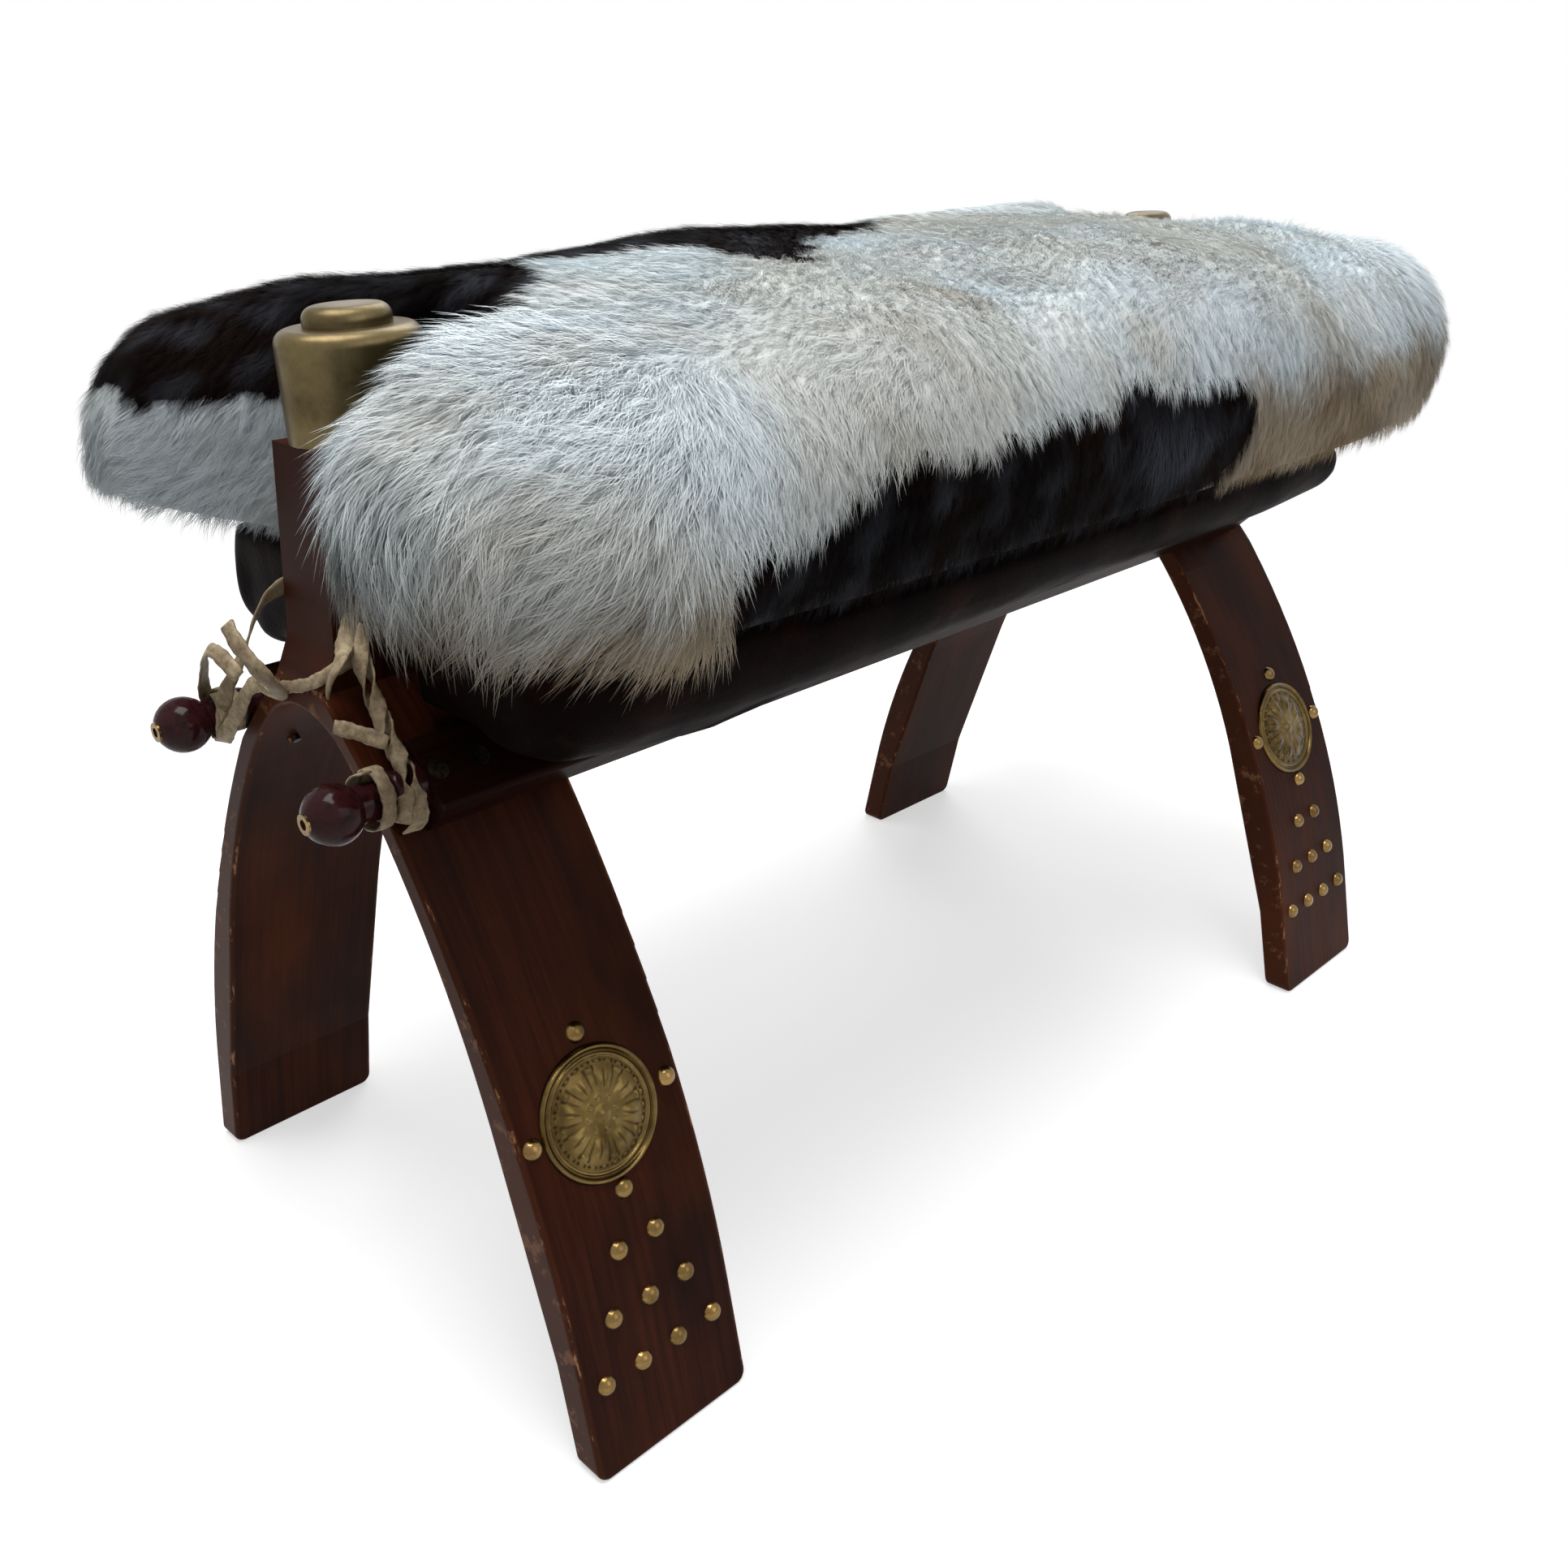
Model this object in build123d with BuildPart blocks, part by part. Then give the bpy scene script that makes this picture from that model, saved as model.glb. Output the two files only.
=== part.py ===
# Camel saddle stool: two arched pairs of plank legs, each ending in a capped horn, two side rails
# with turned knobs, rawhide lashings, brass ornaments, and a loose hair-on-hide cushion with two
# slots that drop over the horns.
#
# Millimetres. Z is up, Y runs along the stool from the front arch (-Y) to the rear arch (+Y),
# and X is its width. The origin is on the floor, under the middle of the stool.
import math
import os

from build123d import *

os.makedirs("parts", exist_ok=True)

# Clearances and overruns
clearance = 0.3
overrun = 40.0

# Arched legs: each is one plank with half of a horn at its top
arch_spacing = 567.0
leg_width = 87.0
leg_thickness = 17.0
arch_thickness = 11.5
foot_reach_front = 175.0
foot_reach_rear = 191.0
shoulder_height = 325.5
shoulder_run_front = 47.5
shoulder_run_rear = 60.0
crown_under_height = 315.0
haunch_reach = 30.0
haunch_height = 303.0
edge_round = 2.0
foot_round = 6.0
# places down the outer face, as (share of the foot's reach, share of the shoulder's height)
lower_bend_shares = (0.936, 0.17)
upper_bend_shares = (0.737, 0.509)
# lean of the plank from upright at the foot and at its two bends
foot_lean = 11.0
lower_bend_lean = 12.5
upper_bend_lean = 21.0
under_knee_lean = 40.0

# Horn: the two half posts at the top of an arch
horn_half_width = 19.0
horn_top_height = 464.0
horn_base_depth = 70.0
horn_top_depth = 54.0
horn_neck_height = 342.0
horn_seat_width = 41.0
horn_seat_depth = 58.0

# Brass cap on each horn
cap_wall = 1.2
cap_reach_down = 41.0
cap_head_room = 3.0
cap_flare = 0.8
cap_shoulder_round = 6.0
cap_button_width = 27.0
cap_button_depth = 38.0
cap_button_rise = 8.0
cap_button_round = 5.5

# Dowels that join the two halves of a horn
dowel_radius = 3.5
dowel_length = 28.0
# heights of the dowels, as shares of the way from the horn's neck to its top
dowel_height_shares = (0.082, 0.492)

# Side rails: flat bars that lie on the arches' 45 degree shoulders
rail_thickness = 22.0
rail_width = 34.0
rail_bar_length = 627.0
rail_round = 3.0
rail_axis_height = 296.0

# Turned ends of the rails, measured outward from the end of the bar
collar_radius = 10.6
collar_length = 3.5
waist_radius = 7.4
waist_place = 6.8
bead_radius = 9.6
bead_place = 10.4
neck_radius = 8.0
neck_place = 13.6
knob_radius = 12.6
knob_place = 38.0
tip_ring_radius = 4.4
tip_ring_bore = 2.2
tip_ring_height = 1.0

# Screws that hold the rails to the arches
screw_head_radius = 4.4
screw_radius = 2.0
screw_length = 34.0
screw_head_angle = 90.0
screw_slot_width = 1.0
screw_slot_depth = 0.9
screw_places = (4.0, 24.0)

# Brass dome nails and medallions on the legs
nail_head_radius = 4.8
nail_head_height = 3.3
nail_shank_radius = 0.9
nail_length = 11.0
nail_row_counts = (4, 3, 2)
nail_spacing = 20.5
nail_row_rise = 27.0
nail_first_row_front = 44.0
nail_first_row_rear = 54.0
medallion_radius = 30.4
medallion_rim_height = 2.4
medallion_rim_width = 2.6
medallion_field_height = 1.5
medallion_ring_radius = 24.0
medallion_ring_width = 1.6
medallion_dome_height = 4.4
medallion_sink = 2.5
medallion_rise = 111.0
medallion_nail_circle = 36.2

# How far the cushion and the pad sit towards the rear from the middle between the arches
cushion_shift = 22.0

# Hide cushion, about its widest level
cushion_length = 742.0
cushion_width = 368.0
cushion_waist_height = 398.0
cushion_top_height = 481.0
cushion_shoulder_drop = 14.0
cushion_shoulder_share = 0.705
cushion_base_height = 345.0
cushion_base_width = 292.0
hide_thickness = 3.0
slot_half_width = 27.0
slot_end_gap = 11.5
front_mouth_half_width = 85.0
front_mouth_length = 58.0
rear_mouth_half_width = 60.0
rear_mouth_length = 36.0
slot_end_round = 8.0
# slope that takes off the lobes' inner top corners beside a slot's mouth
lobe_slope_place = 335.0
lobe_slope_height = 410.0
lobe_slope_rise_along_share = 0.66
lobe_slope_rise_across_share = 0.68
# sections along the cushion, as (share of half length, share of width, of rise, of drop)
cushion_section_shares = (
    (-1.0, 0.70, 0.42, 0.18),
    (-0.972, 0.845, 0.70, 0.27),
    (-0.90, 0.955, 0.90, 0.40),
    (-0.74, 1.0, 0.965, 0.76),
    (-0.40, 0.985, 1.0, 0.93),
    (0.0, 0.975, 1.0, 1.0),
    (0.40, 0.99, 1.0, 1.0),
    (0.74, 1.01, 0.975, 1.0),
    (0.90, 0.975, 0.92, 1.0),
    (0.972, 0.875, 0.72, 0.95),
    (1.0, 0.73, 0.44, 0.78),
)

# Leather pad under the hide cushion, with lips that hang over the rails
pad_length = 640.0
pad_width = 282.0
pad_top_width = 262.0
pad_lip_width = 222.0
pad_lip_inner_width = 182.0
pad_waist_height = 333.0
pad_lip_hang = 14.0
pad_lip_bulge = 5.0
pad_slot_half_width = 33.0
pad_slot_end_gap = 13.0
pad_neck_half_width = 86.0
pad_neck_place = 318.0
pad_leather = 2.4
pad_head_gap = 0.5
# sections along the pad, as (share of half length, share of width, share of the lip's hang)
pad_section_shares = (
    (-1.0, 0.84, 0.10),
    (-0.95, 0.96, 0.55),
    (-0.858, 0.98, 0.80),
    (-0.70, 1.0, 1.0),
    (-0.464, 0.99, 0.80),
    (0.0, 0.98, 0.55),
    (0.70, 1.0, 0.45),
    (0.95, 0.96, 0.35),
    (1.0, 0.84, 0.10),
)

# Rawhide lashing of an arch: one lace round both rail necks and the horn
lace_radius = 2.1
lace_pitch = 5.0
lace_stand_off = 3.5
lace_front_height = 328.0
lace_back_rise = 22.0
lace_side_height = 345.0
lace_cross_height = 330.0
lace_cross_reach = 27.0
lace_cross_stand_off = 9.5
lace_end_height = 308.0
lace_end_reach = 31.0
lace_tail = 24.0
lace_tail_lean = 8.0
lace_wrap_bend = 10.0
lace_bend = 8.0
lace_corner_bend = 5.0
gap_samples = 900

arch_centre = arch_spacing / 2
leg_half = leg_width / 2
horn_foot_back = arch_centre - horn_base_depth / 2
cap_foot_height = horn_top_height - cap_reach_down
cap_shoulder_height = horn_top_height + cap_head_room
lace_back_height = horn_neck_height + lace_back_rise
slope_share = 1 / math.sqrt(2)
shoulder_sum = horn_half_width + shoulder_height
rail_axis_reach = shoulder_sum + rail_thickness / 2 / slope_share - rail_axis_height
rail_out = Vector(slope_share, 0, slope_share)
rail_corner_height = rail_axis_height + (rail_width + rail_thickness) / 2 * slope_share
rail_top_height = rail_corner_height - rail_round * (1 / slope_share - 1)
pad_rest_height = rail_top_height + clearance
ring_seat = math.sqrt(knob_radius ** 2 - tip_ring_radius ** 2)
frame_reach = rail_bar_length / 2 + knob_place + ring_seat + tip_ring_height
box_middle = (cushion_length / 2 + cushion_shift - frame_reach) / 2


# Helpers

def write(piece, name):
    """Writes a finished piece under its own name, measured from the middle of the whole stool."""
    placed = piece.moved(Location((0, -box_middle, 0)))
    placed.label = name
    export_step(placed, f"parts/{name}.step")


def of_side(side, front_value, rear_value):
    """The value that goes with an arch: -1 is the front one, +1 the rear one."""
    return front_value if side < 0 else rear_value


def inward(point, lean, thickness):
    """The point on the under side of a plank, square across from one on its outer face."""
    angle = math.radians(lean)
    return (point[0] - thickness * math.cos(angle), point[1] - thickness * math.sin(angle))


# Legs

def outer_points(side):
    """Foot, two bends and the lower end of the 45 degree shoulder, on the outer face."""
    reach = of_side(side, foot_reach_front, foot_reach_rear)
    run = of_side(side, shoulder_run_front, shoulder_run_rear)
    foot = (reach, 0)
    lower = (reach * lower_bend_shares[0], shoulder_height * lower_bend_shares[1])
    upper = (reach * upper_bend_shares[0], shoulder_height * upper_bend_shares[1])
    knee = (horn_half_width + run, shoulder_height - run)
    return foot, lower, upper, knee


def draw_outer_face(side):
    """Draws the outer face from foot to knee in the line that is open."""
    foot, lower, upper, knee = outer_points(side)
    shin = Line(foot, lower)
    calf = TangentArc(lower, upper, tangent=shin % 1)
    TangentArc(upper, knee, tangent=calf % 1)


def spot_on_face(side, height):
    """A point on the outer face at a height, and the lean of the face there in degrees."""
    with BuildLine(Plane.XZ) as face:
        draw_outer_face(side)
    path = face.wires()[0]
    low, high = 0.0, 1.0
    for _ in range(40):
        middle = (low + high) / 2
        if path.position_at(middle).Z < height:
            low = middle
        else:
            high = middle
    along = path.tangent_at(middle)
    return path.position_at(middle), math.degrees(math.atan2(-along.X, along.Z))


def face_plane(side, height, y):
    """Plane that lies on the outer face at a height, with its Z square out of the wood."""
    point, lean = spot_on_face(side, height)
    angle = math.radians(lean)
    out = (math.cos(angle), 0, math.sin(angle))
    return Plane(origin=(point.X, y, point.Z), x_dir=(0, 1, 0), z_dir=out)


def nail_planes(side):
    """Where the dome nails stand: rows of 4, 3 and 2, and four round the medallion."""
    y_centre = side * arch_centre
    first_row = of_side(side, nail_first_row_front, nail_first_row_rear)
    planes = []
    for row, count in enumerate(nail_row_counts):
        for place in range(count):
            y = y_centre + (place - (count - 1) / 2) * nail_spacing
            planes.append(face_plane(side, first_row + row * nail_row_rise, y))
    middle = first_row + medallion_rise
    lean = spot_on_face(side, middle)[1]
    rise = medallion_nail_circle * math.cos(math.radians(lean))
    planes.append(face_plane(side, middle + rise, y_centre))
    planes.append(face_plane(side, middle - rise, y_centre))
    planes.append(face_plane(side, middle, y_centre - medallion_nail_circle))
    planes.append(face_plane(side, middle, y_centre + medallion_nail_circle))
    return planes


def dowel_planes(side):
    """Where the dowels cross the joint between the halves of a horn."""
    y = side * arch_centre
    rise = horn_top_height - horn_neck_height
    heights = [horn_neck_height + rise * share for share in dowel_height_shares]
    return [Plane(origin=(0, y, height), z_dir=(1, 0, 0)) for height in heights]


def screw_spots(side):
    """Places on the rail's outer face, over an arch, with Z square out of the rail."""
    face = Vector(rail_axis_reach, 0, rail_axis_height) + rail_out * (rail_thickness / 2)
    return [Plane(origin=face + Vector(0, side * (arch_centre + place), 0),
                  x_dir=(0, 1, 0), z_dir=rail_out).location for place in screw_places]


def make_right_leg(side):
    """A plank leg on the +X side, with its half of the horn and all its holes."""
    foot, lower, upper, knee = outer_points(side)
    inner_foot = (foot[0] - leg_thickness / math.cos(math.radians(foot_lean)), 0)
    inner_lower = inward(lower, lower_bend_lean, leg_thickness)
    inner_upper = inward(upper, upper_bend_lean, leg_thickness)
    inner_knee = inward(knee, under_knee_lean, arch_thickness)
    y_centre = side * arch_centre
    crown = (0, crown_under_height)
    with BuildPart() as leg:
        with BuildSketch(Plane.XZ.offset(-y_centre)):
            with BuildLine():
                draw_outer_face(side)
                Polyline(knee, (horn_half_width, shoulder_height),
                         (horn_half_width, horn_top_height), (0, horn_top_height), crown)
                crown_arc = TangentArc(crown, (haunch_reach, haunch_height), tangent=(1, 0))
                arch = TangentArc(crown_arc @ 1, inner_knee, tangent=crown_arc % 1)
                TangentArc(inner_knee, inner_upper, tangent=arch % 1)
                Polyline(inner_upper, inner_lower, inner_foot, foot)
            make_face()
        extrude(amount=leg_half, both=True)
        with BuildSketch(Plane.YZ) as front:
            with Locations((y_centre, 0)):
                Polygon(
                    (-leg_half, 0),
                    (leg_half, 0),
                    (leg_half, shoulder_height - edge_round),
                    (horn_base_depth / 2, horn_neck_height),
                    (horn_top_depth / 2, horn_top_height),
                    (-horn_top_depth / 2, horn_top_height),
                    (-horn_base_depth / 2, horn_neck_height),
                    (-leg_half, shoulder_height - edge_round),
                    align=None,
                )
            fillet(front.vertices().group_by(Axis.Z)[0], foot_round)
        extrude(amount=foot[0] + overrun, mode=Mode.INTERSECT)
        # the oval seat of the cap
        with BuildSketch(Plane.XY.offset(cap_foot_height - clearance)):
            with Locations((0, y_centre)):
                Rectangle(horn_seat_width + overrun, horn_seat_depth + overrun)
                Ellipse(horn_seat_width / 2, horn_seat_depth / 2, mode=Mode.SUBTRACT)
        extrude(amount=overrun + horn_top_height - cap_foot_height, mode=Mode.SUBTRACT)
        long_edges = leg.edges().filter_by(Axis.Y, reverse=True).filter_by(
            lambda edge: foot_round < edge.center().Z < knee[1])
        fillet(long_edges, edge_round)
        with Locations(*[plane.location for plane in nail_planes(side)]):
            Hole(nail_shank_radius, depth=nail_length)
        with Locations(*screw_spots(side)):
            Hole(screw_radius, depth=screw_length + overrun)
        with Locations(*[plane.location for plane in dowel_planes(side)]):
            Cylinder(dowel_radius, dowel_length, mode=Mode.SUBTRACT)
    return leg.part


def make_right_medallion(side, leg):
    """Round brass plate, hollowed at its back to lie on the curve of the leg."""
    height = of_side(side, nail_first_row_front, nail_first_row_rear) + medallion_rise
    plane = face_plane(side, height, side * arch_centre)
    rim = medallion_radius - medallion_rim_width
    ring = medallion_ring_radius
    ring_inside = ring - medallion_ring_width
    with BuildPart() as medallion:
        with BuildSketch(Plane(origin=plane.origin, x_dir=plane.x_dir, z_dir=-plane.y_dir)):
            with BuildLine():
                Polyline((0, -medallion_sink), (medallion_radius, -medallion_sink),
                         (medallion_radius, medallion_field_height))
                ThreePointArc((medallion_radius, medallion_field_height),
                              (medallion_radius - medallion_rim_width / 2, medallion_rim_height),
                              (rim, medallion_field_height))
                Line((rim, medallion_field_height), (ring, medallion_field_height))
                ThreePointArc((ring, medallion_field_height),
                              (ring - medallion_ring_width / 2, medallion_rim_height),
                              (ring_inside, medallion_field_height))
                TangentArc((0, medallion_dome_height), (ring_inside, medallion_field_height),
                           tangent=(1, 0))
                Line((0, medallion_dome_height), (0, -medallion_sink))
            make_face()
        revolve(axis=Axis(plane.origin, plane.z_dir))
        add(leg, mode=Mode.SUBTRACT)
    return medallion.part


# One dome nail, standing on the level that its head rests on
with BuildPart() as dome_nail:
    with BuildSketch(Plane.XZ):
        with BuildLine():
            Polyline((0, nail_head_height), (0, -nail_length), (nail_shank_radius, -nail_length),
                     (nail_shank_radius, 0), (nail_head_radius, 0))
            TangentArc((0, nail_head_height), (nail_head_radius, 0), tangent=(1, 0))
        make_face()
    revolve(axis=Axis.Z)

for side in (-1, 1):
    word = of_side(side, "front", "rear")
    right_leg = make_right_leg(side)
    right_medallion = make_right_medallion(side, right_leg)
    with BuildPart() as right_nails:
        with Locations(*[plane.location for plane in nail_planes(side)]):
            add(dome_nail.part)
    for piece, name in ((right_leg, "leg"), (right_medallion, "medallion"),
                        (right_nails.part, "nails")):
        write(piece, f"{word}_right_{name}")
        write(mirror(piece, about=Plane.YZ), f"{word}_left_{name}")


# Horn caps

def oval(height, grow):
    """An oval level with the cap, larger than the horn's seat by grow all round."""
    with BuildSketch(Plane.XY.offset(height)) as level:
        Ellipse(horn_seat_width / 2 + grow, horn_seat_depth / 2 + grow)
    return level.sketch


with BuildPart() as horn_cap:
    add(oval(cap_foot_height, clearance + cap_wall))
    add(oval(cap_shoulder_height, clearance + cap_wall + cap_flare))
    loft()
    fillet(horn_cap.faces().sort_by(Axis.Z)[-1].edges(), cap_shoulder_round)
    with BuildSketch(Plane.XY.offset(cap_shoulder_height)):
        Ellipse(cap_button_width / 2, cap_button_depth / 2)
    extrude(amount=cap_button_rise)
    fillet(horn_cap.faces().sort_by(Axis.Z)[-1].edges(), cap_button_round)
    with BuildSketch(Plane.XY.offset(cap_foot_height)):
        Ellipse(horn_seat_width / 2 + clearance, horn_seat_depth / 2 + clearance)
    extrude(amount=horn_top_height + clearance - cap_foot_height, mode=Mode.SUBTRACT)

for side in (-1, 1):
    word = of_side(side, "front", "rear")
    write(Pos(0, side * arch_centre, 0) * horn_cap.part, f"{word}_horn_cap")


# Dowels

with BuildPart() as horn_dowels:
    with Locations(*[plane.location for side in (-1, 1) for plane in dowel_planes(side)]):
        Cylinder(dowel_radius, dowel_length)
write(horn_dowels.part, "horn_dowels")


# Rails

def rail_end_plane(side):
    """At an end of the bar: X points outward along the stool and Y away from the axis."""
    origin = (rail_axis_reach, side * rail_bar_length / 2, rail_axis_height)
    return Plane(origin=origin, x_dir=(0, side, 0), z_dir=(side, 0, 0))


knob_start = knob_place - math.sqrt(knob_radius ** 2 - neck_radius ** 2)

with BuildPart() as right_rail:
    with BuildSketch(Plane.XZ) as bar_section:
        with Locations(Location((rail_axis_reach, rail_axis_height), 45)):
            RectangleRounded(rail_thickness, rail_width, rail_round)
    extrude(amount=rail_bar_length / 2, both=True)
    for side in (-1, 1):
        end_plane = rail_end_plane(side)
        with BuildSketch(end_plane):
            with BuildLine():
                Polyline((knob_place + ring_seat, tip_ring_radius), (knob_place + ring_seat, 0),
                         (-collar_length, 0), (-collar_length, collar_radius),
                         (collar_length, collar_radius), (waist_place, waist_radius))
                ThreePointArc((waist_place, waist_radius), (bead_place, bead_radius),
                              (neck_place, neck_radius))
                Line((neck_place, neck_radius), (knob_start, neck_radius))
                ThreePointArc((knob_start, neck_radius), (knob_place, knob_radius),
                              (knob_place + ring_seat, tip_ring_radius))
            make_face()
        revolve(axis=Axis(end_plane.origin, end_plane.x_dir))
    with Locations(*screw_spots(-1), *screw_spots(1)):
        CounterSinkHole(screw_radius, screw_head_radius, depth=screw_length,
                        counter_sink_angle=screw_head_angle)

screw_head_height = (screw_head_radius - screw_radius) / math.tan(
    math.radians(screw_head_angle / 2))
with BuildPart() as rail_screws:
    with Locations(*screw_spots(-1), *screw_spots(1)):
        Cylinder(screw_radius, screw_length, align=(Align.CENTER, Align.CENTER, Align.MAX))
        Cone(screw_radius, screw_head_radius, screw_head_height,
             align=(Align.CENTER, Align.CENTER, Align.MAX))
    for turn in (0, 90):
        with Locations(*[spot * Rot(0, 0, turn) for spot in screw_spots(-1) + screw_spots(1)]):
            Box(screw_head_radius * slope_share * 2, screw_slot_width, screw_slot_depth,
                align=(Align.CENTER, Align.CENTER, Align.MAX), mode=Mode.SUBTRACT)
    mirror(about=Plane.YZ)
write(rail_screws.part, "rail_screws")

write(right_rail.part, "right_side_rail")
write(mirror(right_rail.part, about=Plane.YZ), "left_side_rail")

with BuildPart() as tip_rings:
    for side in (-1, 1):
        end_plane = rail_end_plane(side)
        tip = end_plane.origin + end_plane.x_dir * (knob_place + ring_seat)
        with BuildSketch(Plane(origin=tip, z_dir=end_plane.x_dir)):
            Circle(tip_ring_radius)
            Circle(tip_ring_bore, mode=Mode.SUBTRACT)
        extrude(amount=tip_ring_height)
    mirror(about=Plane.YZ)
write(tip_rings.part, "knob_tip_rings")


# Hide cushion

def lobe_slope_cutter(inset):
    """What lies above the slope on the front right lobe, drawn in by the inset."""
    lean = Vector(-lobe_slope_rise_across_share, -lobe_slope_rise_along_share, 1).normalized()
    start = Vector(slot_half_width, -lobe_slope_place, lobe_slope_height) - lean * inset
    with BuildPart() as cutter:
        with BuildSketch(Plane(origin=start, z_dir=lean)):
            Rectangle(cushion_length, cushion_length)
        extrude(amount=cushion_width)
        with Locations((0, 0, cushion_waist_height)):
            Box(cushion_length, cushion_length * 2, cushion_length,
                align=(Align.MIN, Align.MAX, Align.CENTER), mode=Mode.INTERSECT)
    return cutter.part


def cushion_form(inset):
    """The cushion's crowned form with both slots, drawn in all round by the inset."""
    half_length = cushion_length / 2 - inset
    with BuildPart() as form:
        for place, width_share, rise_share, drop_share in cushion_section_shares:
            half = cushion_width / 2 * width_share - inset
            top = cushion_waist_height - inset
            top += (cushion_top_height - cushion_waist_height) * rise_share
            base = cushion_waist_height + inset
            base -= (cushion_waist_height - cushion_base_height) * drop_share
            shoulder = (half * cushion_shoulder_share, top - cushion_shoulder_drop * rise_share)
            base_half = half - (cushion_width - cushion_base_width) / 2 * drop_share
            waist = (half, cushion_waist_height)
            with BuildSketch(Plane.XZ.offset(-place * half_length - cushion_shift)):
                with BuildLine():
                    TangentArc(waist, shoulder, tangent=(0, 1))
                    ThreePointArc(shoulder, (0, top), (-shoulder[0], shoulder[1]))
                    TangentArc((-waist[0], waist[1]), (-shoulder[0], shoulder[1]),
                               tangent=(0, 1))
                    TangentArc((-waist[0], waist[1]), (-base_half, base), tangent=(0, -1))
                    Line((-base_half, base), (base_half, base))
                    TangentArc(waist, (base_half, base), tangent=(0, -1))
                make_face()
        loft(ruled=True)
        with BuildSketch(Plane.XY.offset(cushion_base_height - overrun)) as slots:
            for side in (-1, 1):
                mouth = side * cushion_length / 2 + cushion_shift
                end = mouth + side * overrun
                throat = mouth - side * of_side(side, front_mouth_length, rear_mouth_length)
                seat = side * (horn_foot_back - slot_end_gap - inset)
                half = slot_half_width + inset
                wide = of_side(side, front_mouth_half_width, rear_mouth_half_width) + inset
                Polygon((-wide, end), (-wide, mouth), (-half, throat), (-half, seat),
                        (half, seat), (half, throat), (wide, mouth), (wide, end), align=None)
            inner_corners = slots.vertices().sort_by(lambda corner: abs(corner.Y))[:4]
            fillet(inner_corners, slot_end_round)
        extrude(amount=cushion_top_height - cushion_base_height + overrun * 2, mode=Mode.SUBTRACT)
        slope = lobe_slope_cutter(inset)
        front_slopes = slope + mirror(slope, about=Plane.YZ)
        add(front_slopes, mode=Mode.SUBTRACT)
        add(mirror(front_slopes, about=Plane.XZ), mode=Mode.SUBTRACT)
    return form.part


cushion_stuffing = cushion_form(hide_thickness)
with BuildPart() as hide_cover:
    add(cushion_form(0))
    add(cushion_stuffing, mode=Mode.SUBTRACT)
write(hide_cover.part, "hide_cover")
write(cushion_stuffing, "cushion_stuffing")


# Leather pad

def cushion_base_at(y):
    """Height of the cushion's under side at a place along it."""
    share = y / (cushion_length / 2)
    for before, after in zip(cushion_section_shares, cushion_section_shares[1:]):
        if before[0] <= share <= after[0]:
            way = (share - before[0]) / (after[0] - before[0])
            drop_share = before[3] + (after[3] - before[3]) * way
    return cushion_waist_height - (cushion_waist_height - cushion_base_height) * drop_share


def pad_form(inset):
    """The pad's form: flat under side, soft lips outside the rails, and a slot at each end."""
    half_length = pad_length / 2 - inset
    with BuildPart() as form:
        for place, width_share, hang_share in pad_section_shares:
            low = pad_rest_height + inset
            lip_low = low - pad_lip_hang * hang_share
            waist = (pad_width / 2 * width_share - inset, pad_waist_height)
            head = cushion_base_at(place * pad_length / 2) - pad_head_gap
            top = (pad_top_width / 2 * width_share - inset, head - inset)
            lip_outer = (pad_lip_width / 2 * width_share - inset, lip_low)
            lip_inner = (pad_lip_inner_width / 2 * width_share + inset, lip_low)
            lip_middle = ((lip_outer[0] + lip_inner[0]) / 2, lip_low - pad_lip_bulge * hang_share)
            root = (lip_inner[0] - pad_lip_bulge, low)
            with BuildSketch(Plane.XZ.offset(-place * half_length - cushion_shift)) as section:
                with BuildLine():
                    Polyline((0, top[1]), (0, low), root, lip_inner)
                    ThreePointArc(lip_inner, lip_middle, lip_outer)
                    TangentArc(waist, lip_outer, tangent=(0, -1))
                    TangentArc(waist, top, tangent=(0, 1))
                    Line(top, (0, top[1]))
                make_face()
                mirror(about=Plane.YZ)
        loft(ruled=True)
        with BuildSketch(Plane.XY.offset(pad_rest_height - overrun)):
            half = pad_slot_half_width + inset
            wide = pad_neck_half_width + inset
            for side in (-1, 1):
                end = side * pad_length
                neck = side * (pad_neck_place - inset)
                seat = side * (horn_foot_back - pad_slot_end_gap - inset)
                Polygon((-wide, end), (-wide, neck), (-half, neck), (-half, seat),
                        (half, seat), (half, neck), (wide, neck), (wide, end), align=None)
        extrude(amount=cushion_waist_height - pad_rest_height + overrun * 2, mode=Mode.SUBTRACT)
    return form.part


pad_stuffing = pad_form(pad_leather)
with BuildPart() as leather_pad:
    add(pad_form(0))
    add(pad_stuffing, mode=Mode.SUBTRACT)
write(leather_pad.part, "leather_pad")
write(pad_stuffing, "pad_stuffing")


# Rawhide lashings

def horn_half_depth(height):
    """Half of the horn's depth along the stool at a height above its neck."""
    share = (height - horn_neck_height) / (horn_top_height - horn_neck_height)
    return (horn_base_depth + (horn_top_depth - horn_base_depth) * share) / 2


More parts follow.
